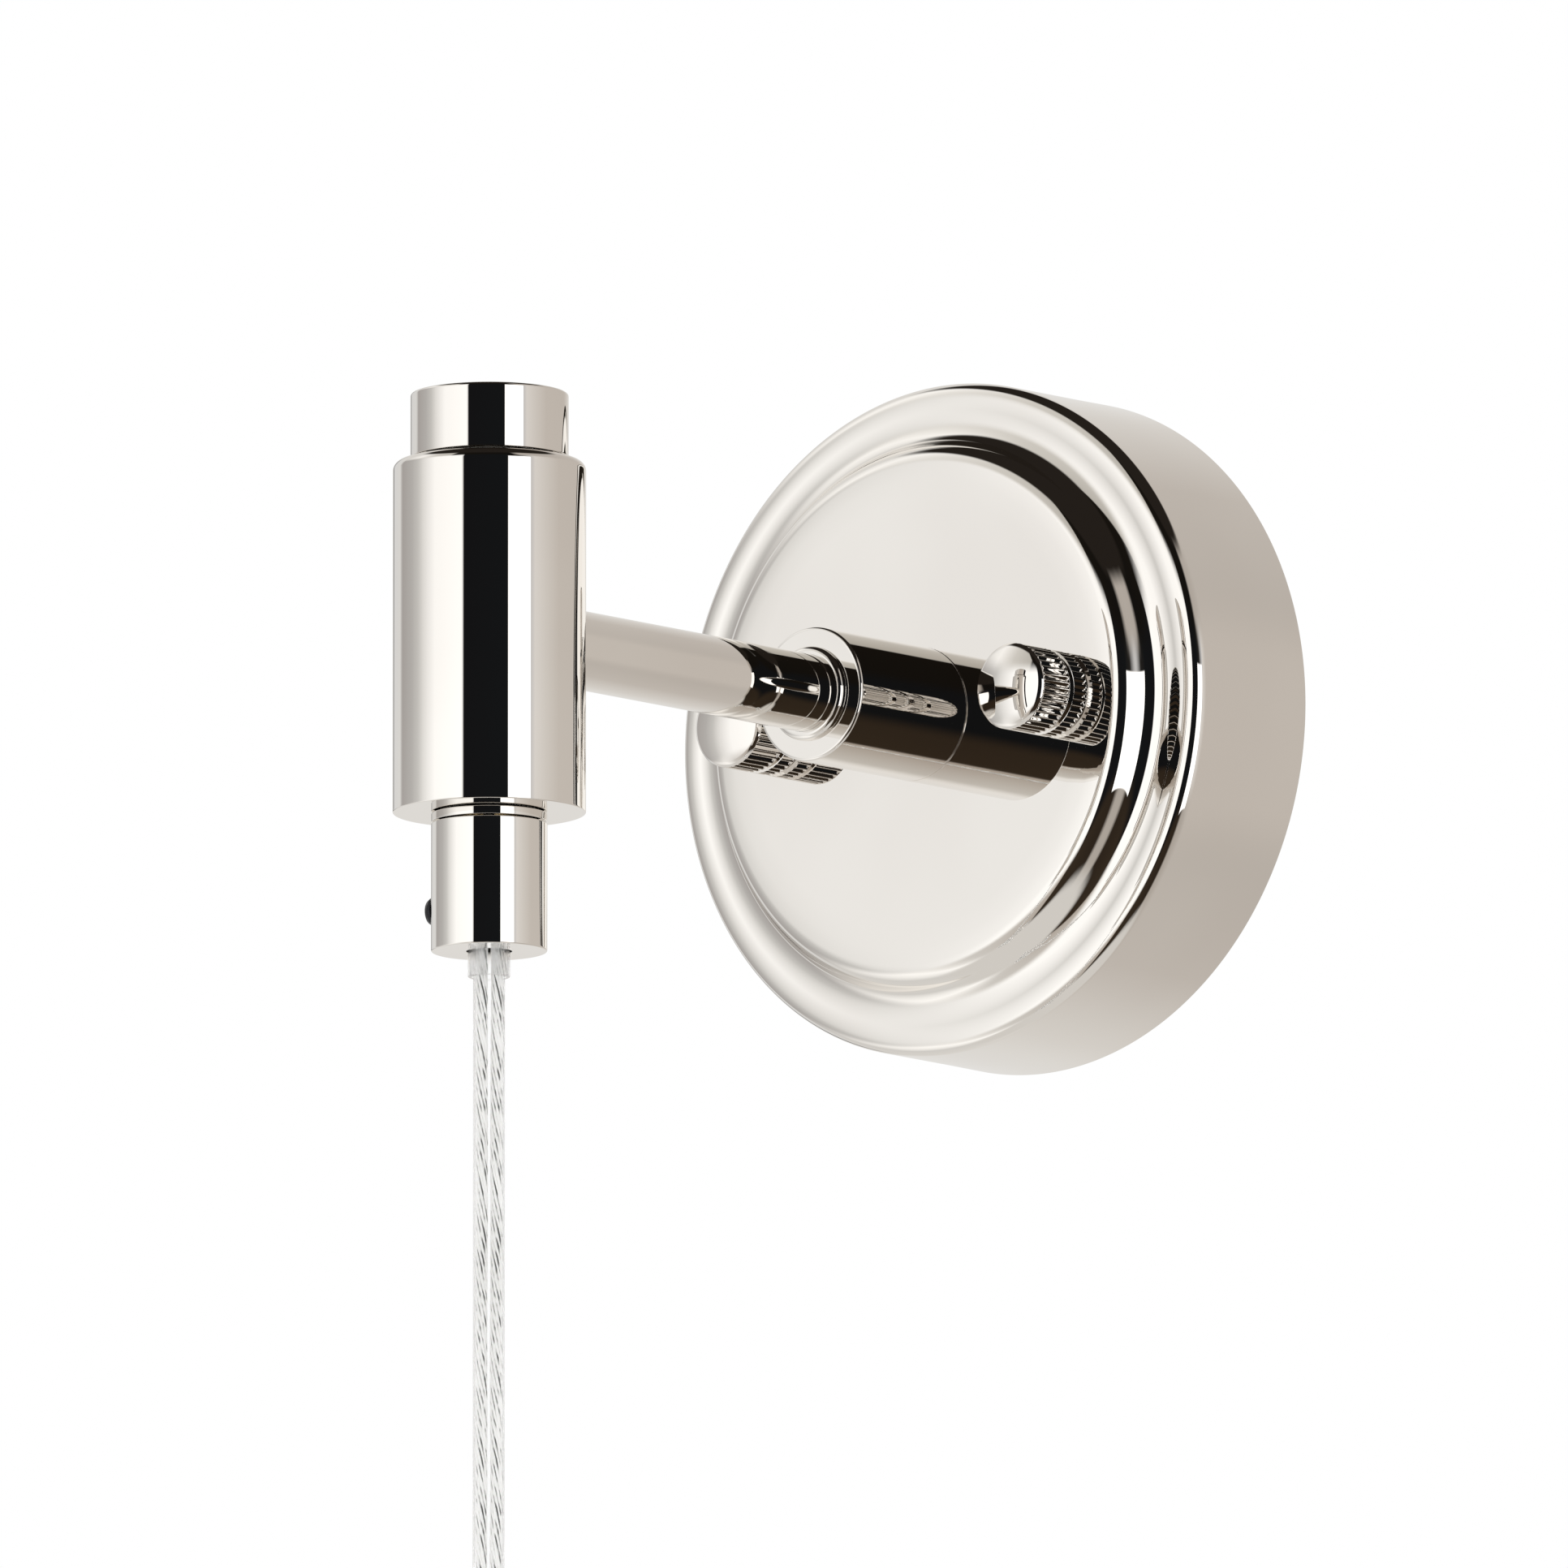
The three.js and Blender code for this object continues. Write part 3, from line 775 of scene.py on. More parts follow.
    def _world(self) -> None:
        """Lights the object by direction: soft white, a dark flag and the warm wall behind."""
        world = bpy.data.worlds.new("studio")
        bpy.context.scene.world = world
        tree = NodeTree(world)
        place = tree.node("ShaderNodeTexCoord").outputs["Generated"]
        parts = tree.node("ShaderNodeSeparateXYZ", None, [place])
        x, y, z = (Value(tree, parts.outputs[i]) for i in range(3))
        degrees = x.atan2(-1.0 * y) * (180 / math.pi)
        rings = (self.level, self.above, self.below)
        level, above, below = (self._ring(tree, degrees, stops) for stops in rings)
        seen = tree.mix(z.ramp(0.30, 0.52), level, above)
        seen = tree.mix((-1.0 * z).ramp(0.26, 0.50), seen, below)
        left, right, low, high = self.window
        side, rise = self.window_soft
        window = degrees.ramp(left - side, left + side) * degrees.ramp(right - side, right + side, 1.0, 0.0)
        window = window * z.ramp(low - rise, low + rise) * z.ramp(high - rise, high + rise, 1.0, 0.0)
        seen = tree.mix(window, seen, self.window_tint)
        seen = tree.mix(z.ramp(0.70, 0.80), seen, self.zenith)
        seen = tree.mix((-1.0 * z).ramp(0.80, 0.92), seen, self.nadir)
        lit = tree.node("ShaderNodeBackground", None, [seen, 1.0])
        plain = tree.node("ShaderNodeBackground", None, [(1, 1, 1, 1), 1.0])
        paths = tree.node("ShaderNodeLightPath")
        camera, diffuse, through = (
            Value(tree, paths.outputs[f"Is {kind} Ray"]) for kind in ("Camera", "Diffuse", "Transmission")
        )
        straight = camera + diffuse + through
        shown = tree.node("ShaderNodeMixShader", None, [straight, lit.outputs[0], plain.outputs[0]])
        tree.node("ShaderNodeOutputWorld", None, [shown.outputs[0]])

    @staticmethod
    def _ring(tree: NodeTree, degrees: Value, stops: tuple) -> bpy.types.NodeSocket:
        """Draws a ring of light from its stops round the compass.

        Args:
            tree: The world's tree.
            degrees: Degrees round from the front.
            stops: The ring's angles and tints.

        Returns:
            The colour socket.
        """
        places = [((angle + 180) / 360, tint) for angle, tint in stops]
        return tree.node("ShaderNodeValToRGB", {"stops": places}, [(degrees + 180.0) / 360.0]).outputs[0]

    def _floor(self) -> None:
        """Makes a wide pale floor that is open from below."""
        bm = bmesh.new()
        place = Matrix.Translation((0, 0, self.floor_height))
        bmesh.ops.create_grid(bm, x_segments=8, y_segments=8, size=self.floor_half, matrix=place)
        mesh = bpy.data.meshes.new("floor")
        bm.to_mesh(mesh)
        bm.free()
        floor = bpy.data.objects.new("floor", mesh)
        bpy.context.scene.collection.objects.link(floor)
        material = bpy.data.materials.new("floor")
        tree = NodeTree(material)
        cells = tree.noise(tree.node("ShaderNodeTexCoord").outputs["Object"], 0.8)
        paint = tree.mix(cells, (0.84, 0.84, 0.83, 1), (0.88, 0.88, 0.87, 1))
        top = tree.node("ShaderNodeBsdfDiffuse", None, {"Color": paint})
        under = tree.node("ShaderNodeBsdfTransparent")
        facing = tree.node("ShaderNodeNewGeometry").outputs["Backfacing"]
        both = tree.node("ShaderNodeMixShader", None, [facing, top.outputs[0], under.outputs[0]])
        tree.node("ShaderNodeOutputMaterial", None, [both.outputs[0]])
        mesh.materials.append(material)
        floor.visible_glossy = False
        floor.visible_transmission = False


# ---------------------------------------------------------------- cord, coil and plug


@dataclass
class CordSet(Maker):
    """The clear flat cord with its two conductors, its coil, its tie and its plug."""

    body: Body = Body.SPINDLE
    turn: float = 40.0  # degrees that its broad side is turned from the front
    width: float = 6.0
    thick: float = 3.1
    web: float = 2.2  # thickness in the valley between the two halves
    exit_z: float = -60.7
    coil_r: float = 35.0
    coil_z: float = -261.0
    column_pitch: float = 6.2
    layer_pitch: float = 3.4
    join_angle: float = 35.0  # degrees round from the coil's top where the cord joins it
    turns: int = 7
    change_span: float = 70.0  # degrees over which it moves to the next place in the coil
    change_at: float = 200.0
    tail_x: float = 9.8
    plug_top: float = -299.0
    conductor_r: float = 1.12
    conductor_x: float = 1.36
    strand_lobes: int = 9
    strand_pitch: float = 27.0  # for one twist of the strands
    strand_depth: float = 0.28  # how deep the lines between the strands are, as a share of the radius
    wander: float = 0.22  # how far a conductor strays to the side in the jacket
    sway: float = 0.20  # how far it strays through the jacket's thickness
    jacket_step: float = 4.0
    strand_step: float = 1.1
    coil_step: float = 12.0  # degrees between the points that the coil is drawn through
    leave_early: float = 43.0  # degrees before the last turn's end where the tail starts to move out
    leave_span: float = 46.0
    overrun: float = 8.0
    sleeve_bore: float = 3.35
    sleeve_r: float = 4.0
    strap_half: Point = (6.7, 7.4)
    strap_corner: float = 2.2
    strap_half_wide: float = 3.0
    strap_thick: float = 1.2
    strap_angle: float = 48.0  # degrees round from the coil's top
    # The moulding's height below its top, and half its width and depth there.
    plug_rows: tuple[tuple[float, float, float], ...] = (
        (0.0, 4.2, 2.6), (-0.8, 4.5, 3.0), (-3.5, 4.7, 3.4), (-7.0, 5.6, 4.2), (-10.5, 8.2, 5.2),
        (-13.0, 10.9, 5.9), (-15.0, 11.9, 6.3), (-17.0, 12.0, 6.45), (-29.0, 12.0, 6.45),
        (-30.0, 11.3, 5.8),
    )
    plug_squareness: float = 0.55  # the power that squares its round section
    blade_widths: Point = (7.9, 6.35)
    blade_x: float = 6.35
    blade_from: float = -30.1
    blade_hole_r: float = 1.6
    blade_hole_at: float = -12.2
    blade_thick: float = 1.5
    # The stretch from the spindle to the coil, in the cord's own frame.
    drop: tuple[tuple[float, float, float], ...] = (
        (0, 0, -48.6), (0, 0, -60), (0, 0, -75), (0, 0, -90), (0, 0, -105), (0, 0, -120),
        (0, 0, -135), (0, 0, -150), (0, 0, -165), (0, 0, -184), (0.3, 0.8, -193.4),
        (1, 3.2, -202.4), (1.9, 7.2, -211), (2.6, 12, -217.9), (2.9, 17.1, -223.4),
    )

    @property
    def place(self) -> Matrix:
        """The cord's own frame: x across its width, y through its thickness."""
        return upright() @ Matrix.Rotation(math.radians(self.turn), 4, "Z")

    @property
    def tail_y(self) -> float:
        """How far behind the coil's middle the last stretch hangs."""
        return self.coil_r - 1.5 * self.layer_pitch

    def route(self) -> list[Vector]:
        """The cord's centre line from the spindle to the plug, in metres.

        Returns:
            Its points, evenly spaced.
        """
        points = [Vector(p) for p in self.drop]
        points += self._coil()
        tail = (-276.0, -284.0, -292.0, self.plug_top + 0.3)
        points += [Vector((self.tail_x, self.tail_y, z)) for z in tail]
        return smooth_path([self.place @ (p * MM) for p in points], self.jacket_step * MM)

    def _coil(self) -> list[Vector]:
        """The turns of the coil, from the outer layer inward and back out to the tail.

        Returns:
            The points to draw it through, in the cord's own frame.
        """
        layers = [self.coil_r + self.layer_pitch * k for k in (1.5, 0.5, -0.5, -1.5)]
        side = self.column_pitch / 2
        slots = [(layers[0], side), (layers[0], -side), (layers[1], -side), (layers[1], side)]
        slots += [(layers[2], side), (layers[2], -side), (layers[3], -side), (layers[3], side)]
        end = 90 + 360 * self.turns
        made = []
        angle = self.join_angle
        while angle <= end + self.overrun:
            wound = (angle - self.change_at) / 360
            lap = min(max(math.floor(wound) + 1, 0), self.turns)
            start = self.change_at + 360 * (lap - 1)
            share = min(max((angle - start) / self.change_span, 0.0), 1.0) if lap else 1.0
            ease = share * share * (3 - 2 * share)
            old, new = slots[max(lap - 1, 0)], slots[lap]
            r = old[0] + (new[0] - old[0]) * ease
            x = old[1] + (new[1] - old[1]) * ease
            out = min(max((angle - (end - self.leave_early)) / self.leave_span, 0.0), 1.0)
            x += (self.tail_x - x) * out * out * (3 - 2 * out)
            a = math.radians(angle)
            made.append(Vector((x, r * math.sin(a), self.coil_z + r * math.cos(a))))
            angle += self.coil_step
        return made

    def jacket_section(self) -> list[Point]:
        """The jacket's section: two round halves with a valley between them.

        Returns:
            Its corners, in metres.
        """
        r = self.thick / 2
        centre = self.width / 2 - r
        made = []
        for sign in (1, -1):
            for k in range(9):
                a = math.radians(-112 + 28 * k)
                made.append((sign * (centre + r * math.cos(a)), sign * r * math.sin(a)))
            made.append((0.0, sign * self.web / 2))
        return [(x * MM, y * MM) for x, y in made]

    def build(self) -> None:
        route = self.route()
        across = [self.place.to_3x3() @ Vector((1, 0, 0))] * len(route)
        LOG.info("cord %.3f m from the spindle's end", length_of(route))
        jacket = swept(self.jacket_section(), route, across, "along")
        nodes = ("cord", "cord_coil", "cord_tail")
        cord = self.finish(jacket, "cord_jacket", VINYL, Slot.VINYL, nodes, smooth=70)
        on_cord = [self._conductor(route, across[0], side) for side in (-1, 1)]
        on_cord += [self._sleeve(), self._tie(), self._plug(), *self._blades()]

    def _conductor(self, route: list[Vector], across: Vector, side: int) -> bpy.types.Object:
        """Makes one conductor: a bundle of bright strands twisted together.

        Args:
            route: The cord's centre line.
            across: The direction of the cord's width.
            side: -1 or 1, the half that it lies in.

        Returns:
            The piece.
        """
        fine = evenly(route, self.strand_step * MM)
        points, turned_to = [], []
        walked = 0.0
        for i, point in enumerate(fine):
            before, after = fine[max(i - 1, 0)], fine[min(i + 1, len(fine) - 1)]
            tangent = (after - before).normalized()
            wide = (across - tangent * across.dot(tangent)).normalized()
            deep = tangent.cross(wide)
            walked += (point - before).length
            wander = noise.noise(Vector((walked * 28, side * 5.0, 0))) * self.wander * MM
            sway = noise.noise(Vector((walked * 22, side * 9.0, 4.0))) * self.sway * MM
            points.append(point + wide * (side * self.conductor_x * MM + wander) + deep * sway)
            a = -2 * math.pi * walked / (self.strand_pitch * MM)
            turned_to.append(wide * math.cos(a) + deep * math.sin(a))
        section = []
        steps = self.strand_lobes * 4
        for k in range(steps):
            a = 2 * math.pi * k / steps
            lobe = abs(math.cos(a * self.strand_lobes / 2))
            r = self.conductor_r * (1 - self.strand_depth + self.strand_depth * lobe) * MM
            section.append((r * math.cos(a), r * math.sin(a)))
        bm = swept(section, points, turned_to, "along")
        name = "conductor_left" if side < 0 else "conductor_right"
        return self.finish(bm, name, STRANDS, Slot.COPPER, smooth=80)

    def _sleeve(self) -> bpy.types.Object:
        """Makes the clear bushing that the cord passes through.

        Returns:
            The piece.
        """
        low, high = Space.of("cord_sleeve").heights
        bore, r = self.sleeve_bore, self.sleeve_r
        outline = Outline(
            [Corner(bore, low), Corner(r, low, 0.25), Corner(r, high), Corner(bore, high)], closed=True
        )
        return self.turned("sleeve", outline, upright(), VINYL, Slot.VINYL, ("cord_sleeve",), 64)

    def _tie(self) -> bpy.types.Object:
        """Makes the strap round the coil.

        Returns:
            The piece.
        """
        bm = bmesh.new()
        half_wide = self.strap_half_wide
        bmesh.ops.create_grid(bm, x_segments=1, y_segments=1, size=1.0)
        bmesh.ops.scale(bm, vec=(*self.strap_half, 1), verts=bm.verts)
        bmesh.ops.delete(bm, geom=list(bm.faces), context="FACES_ONLY")
        corners = list(bm.verts)
        round_corners(bm, corners, self.strap_corner, 6, "VERTICES")
        wall = bmesh.ops.extrude_edge_only(bm, edges=list(bm.edges))["geom"]
        moved = [v for v in wall if isinstance(v, bmesh.types.BMVert)]
        bmesh.ops.translate(bm, vec=(0, 0, 2 * half_wide), verts=moved)
        bmesh.ops.recalc_face_normals(bm, faces=bm.faces)
        bmesh.ops.solidify(bm, geom=list(bm.faces), thickness=-self.strap_thick)
        bmesh.ops.recalc_face_normals(bm, faces=bm.faces)
        round_corners(bm, sharp_edges(bm, 60), 0.3, 2)
        bmesh.ops.translate(bm, vec=(0, 0, -half_wide), verts=bm.verts)
        angle = math.radians(self.strap_angle)
        spot = Vector((0, self.coil_r * math.sin(angle), self.coil_z + self.coil_r * math.cos(angle)))
        local = Matrix.Translation(spot) @ Matrix.Rotation(math.pi / 2 - angle, 4, "X")
        bmesh.ops.transform(bm, matrix=self.place @ Matrix.Scale(MM, 4) @ local, verts=bm.verts)
        return self.finish(bm, "coil_strap", TIE, Slot.TIE, ("coil_tie",))

    def _plug_place(self) -> Matrix:
        """The plug's own frame, its top at the origin and millimetres for units."""
        top = Matrix.Translation((self.tail_x, self.tail_y, self.plug_top))
        return self.place @ Matrix.Scale(MM, 4) @ top

    def _plug(self) -> bpy.types.Object:
        """Makes the moulded plug, a body with a waist below the cord.

        Returns:
            The piece.
        """
        bm = bmesh.new()
        ring = bmesh.ops.create_circle(bm, segments=48, radius=1.0)["verts"]
        power = self.plug_squareness
        units = [tuple(math.copysign(abs(c) ** power, c) for c in v.co.xy) for v in ring]
        edges = list(bm.edges)
        bmesh.ops.contextual_create(bm, geom=edges)
        for i, (z, half_x, half_y) in enumerate(self.plug_rows):
            if i:
                made = bmesh.ops.extrude_edge_only(bm, edges=edges)["geom"]
                edges = [g for g in made if isinstance(g, bmesh.types.BMEdge) and g.is_boundary]
                fresh = {g for g in made if isinstance(g, bmesh.types.BMVert)}
                ring = [next(e.other_vert(v) for e in v.link_edges if e.other_vert(v) in fresh) for v in ring]
            for v, (x, y) in zip(ring, units):
                v.co = Vector((half_x * x, half_y * y, z))
        bmesh.ops.contextual_create(bm, geom=edges)
        bmesh.ops.recalc_face_normals(bm, faces=bm.faces)
        round_corners(bm, sharp_edges(bm, 50), 0.5, 3)
        bmesh.ops.transform(bm, matrix=self._plug_place(), verts=bm.verts)
        return self.finish(bm, "plug_moulding", MILKY, Slot.VINYL, ("plug_body",), smooth=40)

    def _blades(self) -> list[bpy.types.Object]:
        """Makes the two blades, each with its hole.

        Returns:
            The pieces.
        """
        pieces = []
        hole_at = self.blade_hole_at
        for name, side, wide in (("neutral", -1, self.blade_widths[0]), ("line", 1, self.blade_widths[1])):
            half = wide / 2
            bm = bmesh.new()
            hole = bmesh.ops.create_circle(bm, segments=24, radius=self.blade_hole_r)["verts"]
            inner = list(bm.edges)
            bmesh.ops.translate(bm, vec=(0, hole_at, 0), verts=hole)
            rim = bmesh.ops.create_circle(bm, segments=24, radius=half - 0.05)["verts"]
            outer = [e for e in bm.edges if e not in set(inner)]
            for v in rim:
                x = min(max(v.co.x * 1.5, -half), half)
                y = max(v.co.y * 1.45, -4.3) if v.co.y < 0 else v.co.y
                v.co = Vector((x, hole_at + y, 0))
            bmesh.ops.bridge_loops(bm, edges=inner + outer)
            top = [e for e in outer if all(v.co.y > hole_at + 0.3 for v in e.verts)]
            lifted = bmesh.ops.extrude_edge_only(bm, edges=top)["geom"]
            for v in (g for g in lifted if isinstance(g, bmesh.types.BMVert)):
                v.co.y = 0.0
            bmesh.ops.remove_doubles(bm, verts=bm.verts, dist=1e-4)
            bmesh.ops.recalc_face_normals(bm, faces=bm.faces)
            bmesh.ops.solidify(bm, geom=list(bm.faces), thickness=self.blade_thick)
            bmesh.ops.recalc_face_normals(bm, faces=bm.faces)
            low, high = min(v.co.z for v in bm.verts), max(v.co.z for v in bm.verts)
            bmesh.ops.translate(bm, vec=(0, 0, -(low + high) / 2), verts=bm.verts)
            round_corners(bm, sharp_edges(bm, 60), 0.2, 2)
            local = Matrix.Translation((side * self.blade_x, 0, self.blade_from))
            local = local @ Matrix.Rotation(math.pi / 2, 4, "Z")
            stand = local @ Matrix.Rotation(math.pi / 2, 4, "X")
            bmesh.ops.transform(bm, matrix=self._plug_place() @ stand, verts=bm.verts)
            nodes = (f"plug_blade_{name}",)
            pieces.append(self.finish(bm, f"blade_{name}", COPPER, Slot.COPPER, nodes))
        return pieces


# ---------------------------------------------------------------- wall plate


@dataclass
class WallPlate(Maker):
    """The spun canopy and the hardware behind it."""

    body: Body = Body.WALL
    rim_r: float = 64.4
    edge_r: float = 64.3
    disc_face: float = 38.4
    sheet: float = 1.2
    # From the drum's front edge inward: the length of each arc, and how far the surface has turned
    # from facing sideways to facing the room, in degrees, at its end.
    front: tuple[tuple[float, float], ...] = (
        (1.0, 24), (0.95, 38), (0.9, 65), (1.05, 80), (2.9, 96.5), (3.0, 80), (1.9, 65), (1.8, 38),
        (1.7, 24), (1.95, 38), (1.55, 65), (1.65, 85), (3.0, 88.5), (4.0, 90),
    )
    bore: float = 5.3
    stud_hole: float = 2.8
    stud_r: float = 2.0
    stud_end: float = 47.0
    stud_pitch: float = 0.8
    stud_nut_flats: float = 8.7
    stud_nut_bore: float = 2.3
    nipple_r: float = 5.0
    nipple_bore: float = 3.3
    nipple_pitch: float = 0.94
    nipple_nut_flats: float = 15.9
    nipple_nut_bore: float = 5.3
    star_bore: float = 5.3
    star_r: float = 8.4
    star_teeth: int = 12
    connector_x: float = 7.0
    connector_out: float = 15.0
    connector_ribs: int = 12
    front_step: float = 0.22  # about how far apart the front's points are

    def front_line(self) -> list[tuple[float, float, float]]:
        """The front's points: rounded edge, ledge, cove, and the disc's edge.

        Returns:
            Radius, height and facing in degrees of each point.
        """
        r, h, facing = self.edge_r, 0.0, 0.0
        line = [(r, h, facing)]
        for length, end in self.front:
            count = max(2, round(length / self.front_step))
            start = facing
            for k in range(1, count + 1):
                middle = math.radians(start + (end - start) * (k - 0.5) / count)
                r -= math.sin(middle) * length / count
                h += math.cos(middle) * length / count
                facing = start + (end - start) * k / count
                line.append((r, h, facing))
        lift = self.disc_face - h
        return [(r, h + lift, facing) for r, h, facing in line]

    def canopy_outline(self) -> Outline:
        """The canopy's wall: the drum, its shaped front, and the inside back to the rim.

        Returns:
            The half section.
        """
        t = self.sheet
        line = self.front_line()
        inside = [
            Corner(r - t * math.cos(math.radians(facing)), h - t * math.sin(math.radians(facing)))
            for r, h, facing in reversed(line[::6])
        ]
        return Outline(
            [
                Corner(self.rim_r, 0.0, 0.2),
                Corner(self.edge_r + 0.03, 10.0),
                Corner(self.edge_r, line[0][1] - 0.4),
                *(Corner(r, h) for r, h, _ in line),
                Corner(line[-1][0] - 0.3, self.disc_face),
                Corner(self.bore, self.disc_face),
                Corner(self.bore, self.disc_face - t),
                *inside,
                Corner(self.rim_r - t, 0.0, 0.2),
            ],
            closed=True,
        )

    def build(self) -> None:
        """Makes the canopy, the strap and everything on the strap."""
        self._canopy()
        self._hardware()
        self._joints_of_the_cord()

    def _canopy(self) -> None:
        """Makes the canopy with its stud holes, polished outside and plain inside."""
        bm = spun(self.canopy_outline(), outward(), 288)
        pin = tube_outline(0.0, self.stud_hole, 30.0, 45.0)
        holes = [spun(pin, outward(side * STUD_X), 40) for side, _ in SIDES]
        bm = cut(bm, holes)
        piece = self.finish(bm, "canopy_shell", NICKEL, Slot.NICKEL, ("canopy",))
        piece.data.materials.append(NICKEL_INSIDE.material())
        for face in piece.data.polygons:
            spoke = Vector((face.center.x, 0, face.center.z)).normalized()
            looks_in = face.normal.dot(spoke) < -0.3 or face.normal.y > 0.5
            face.material_index = 1 if looks_in else 0

    def _hardware(self) -> None:
        """Makes the strap's screws, studs and nuts and the nipple."""
        strap_front = -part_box("mounting_strap")[0].y / MM
        dress("mounting_strap", ZINC)
        r, end = self.stud_r, self.stud_end
        stud = Outline(
            [
                Corner(0, 0.1), Corner(r, 0.1, 0.2), *thread(r, strap_front + 4, 46.0, self.stud_pitch, 0.22),
                Corner(r, 46.2), Corner(r - 0.6, end), Corner(0, end),
            ],
            support=0.02,
        )
        stud_nut = HexNut(self.stud_nut_flats, self.stud_nut_bore)
        for side, name in SIDES:
            place = outward(side * STUD_X)
            self.turned(f"threaded_stud_{name}", stud, place, ZINC, Slot.ZINC, (f"stud_{name}",), 40)
            node = f"stud_nut_{name}"
            nut = stud_nut.mesh(Space.of(node).out, place)
            self.finish(nut, f"hex_nut_{name}", ZINC, Slot.ZINC, (node,), smooth=24)
        self._ground_screw()
        r, bore = self.nipple_r, self.nipple_bore
        rows = thread(r, 27.4, 55.6, self.nipple_pitch, 0.35)
        nipple = Outline([Corner(bore, 27.0), *rows, Corner(4.6, 56.0), Corner(bore, 56.0)], closed=True)
        self.turned("nipple", nipple, outward(), BRASS, Slot.BRASS, ("threaded_nipple",), 56)
        star_outline = tube_outline(self.star_bore, self.star_r, *Space.of("lock_washer").out)
        star = spun(star_outline, outward(), 96, lambda v: star_point(v, 6.4, self.star_r, self.star_teeth))
        self.finish(star, "star_washer", SPRING, Slot.SPRING, ("lock_washer",))
        nipple_nut = HexNut(self.nipple_nut_flats, self.nipple_nut_bore)
        nut = nipple_nut.mesh(Space.of("nipple_nut").out, outward())
        self.finish(nut, "nipple_hex", BRASS, Slot.BRASS, ("nipple_nut",), smooth=24)

    def _ground_screw(self) -> None:
        """Makes the green screw on the strap."""
        screw = Outline(
            [
                Corner(0, 0.2), Corner(1.6, 0.2), Corner(1.6, 2.3), Corner(3.6, 2.3, 0.1),
                Corner(3.6, 3.6, 0.4), Corner(2.6, 4.3, 0.6), Corner(0.9, 4.3), Corner(0.7, 3.5),
                Corner(0, 3.4),
            ],
            support=0.05,
        )
        place = outward(Space.of("ground_screw").middle.x)
        self.turned("grounding_screw", screw, place, GREEN, Slot.GREEN, ("ground_screw",), 48)

    def _joints_of_the_cord(self) -> None:
        """Makes the leads and the two twist-on connectors in the canopy."""
        ribs = self.connector_ribs
        for side, name in SIDES:
            route = [
                (LEAD_X, -155.1, 0), (LEAD_X, -110, 0), (LEAD_X, -70, 0), (LEAD_X, -40, 0), (1.4, -25, 0.6),
                (2.4, -18, 4), (5, -15, 9), (self.connector_x, -self.connector_out, 15),
            ]
            line = smooth_path([Vector((side * x, y, z)) * MM for x, y, z in route], 1.5 * MM)
            lead = rod(line, LEAD_R * MM, LEAD_SIDES)
            self.finish(lead, f"inner_lead_{name}", WIRE, Slot.WIRE, (f"lead_{name}",))
            shell = Outline(
                [
                    Corner(1.6, 14.5), Corner(4.8, 14.5, 0.3), Corner(5.2, 18.0, 0.6), Corner(3.6, 31.0, 0.6),
                    Corner(2.6, 33.0, 0.8), Corner(0.0, 33.0), Corner(0.0, 24.0), Corner(1.6, 24.0),
                ],
                closed=True,
            )
            place = Matrix.Translation((side * self.connector_x * MM, -self.connector_out * MM, 0))
            bm = spun(shell, place, 96, lambda v: star_point(v, 2.6, 5.3, ribs, 0.22, 18.5))
            nodes = (f"wire_connector_{name}",)
            self.finish(bm, f"twist_connector_{name}", CONNECTOR, Slot.CONNECTOR, nodes, smooth=50)


def from_flat(v: Vector) -> float:
    """Degrees round from the middle of a hexagon's nearest flat side."""
    return (math.degrees(math.atan2(v.y, v.x)) % 60) - 30


@dataclass(frozen=True)
class HexNut:
    """A chamfered hexagon nut, in millimetres."""

    flats: float
    bore: float
    chamfer: float = 0.3
    edge: float = 0.5

    def mesh(self, out: tuple[float, float], place: Matrix) -> bmesh.types.BMesh:
        """Makes the nut's mesh.

        Args:
            out: How far along its axis it starts and ends.
            place: Lays its axis out.

        Returns:
            The mesh, in metres, in place.
        """
        low, high = out
        reach, face = self.flats / math.sqrt(3), self.flats * 0.46
        bore, cut_in, edge = self.bore, self.chamfer, self.edge
        corners = [
            Corner(bore + cut_in, low), Corner(face, low), Corner(reach, low), Corner(reach, low + edge),
            Corner(reach, high - edge), Corner(reach, high), Corner(face, high), Corner(bore + cut_in, high),
            Corner(bore, high - cut_in), Corner(bore, low + cut_in),
        ]

        def shape(v: Vector) -> Vector:
            """Pulls the outside to a hexagon and rounds its corners off.

            Args:
                v: A point of the turned mesh.

            Returns:
                The moved point.
            """
            r = math.hypot(v.x, v.y)
            if r < self.flats * 0.48:
                return v
            wanted = self.flats / 2 / math.cos(math.radians(from_flat(v)))
            drop = max(0.0, (wanted - self.flats * 0.49) * 0.55)
            h = min(max(v.z, low + drop), high - drop)
            return Vector((v.x * wanted / r, v.y * wanted / r, h))

        return spun(Outline(corners, closed=True), place, 96, shape)


def thread(r: float, low: float, high: float, pitch: float, depth: float) -> list[Corner]:
    """Corners of a run of thread grooves along a turned piece.

    Args:
        r: The thread's outer radius.
        low: Where it starts.
        high: Where it ends.
        pitch: The distance between its grooves.
        depth: How deep they are.

    Returns:
        The corners in order.
    """
    made: list[Corner] = []
    for k in range(int((high - low) / pitch)):
        h = low + k * pitch
        made += [Corner(r, h), Corner(r - depth, h + pitch * 0.5), Corner(r, h + pitch * 0.92)]
    return made


def tube_outline(inner: float, outer: float, low: float, high: float) -> Outline:
    """A plain tube's or pin's half section."""
    corners = [Corner(inner, low), Corner(outer, low), Corner(outer, high), Corner(inner, high)]
    return Outline(corners, closed=inner > 0)


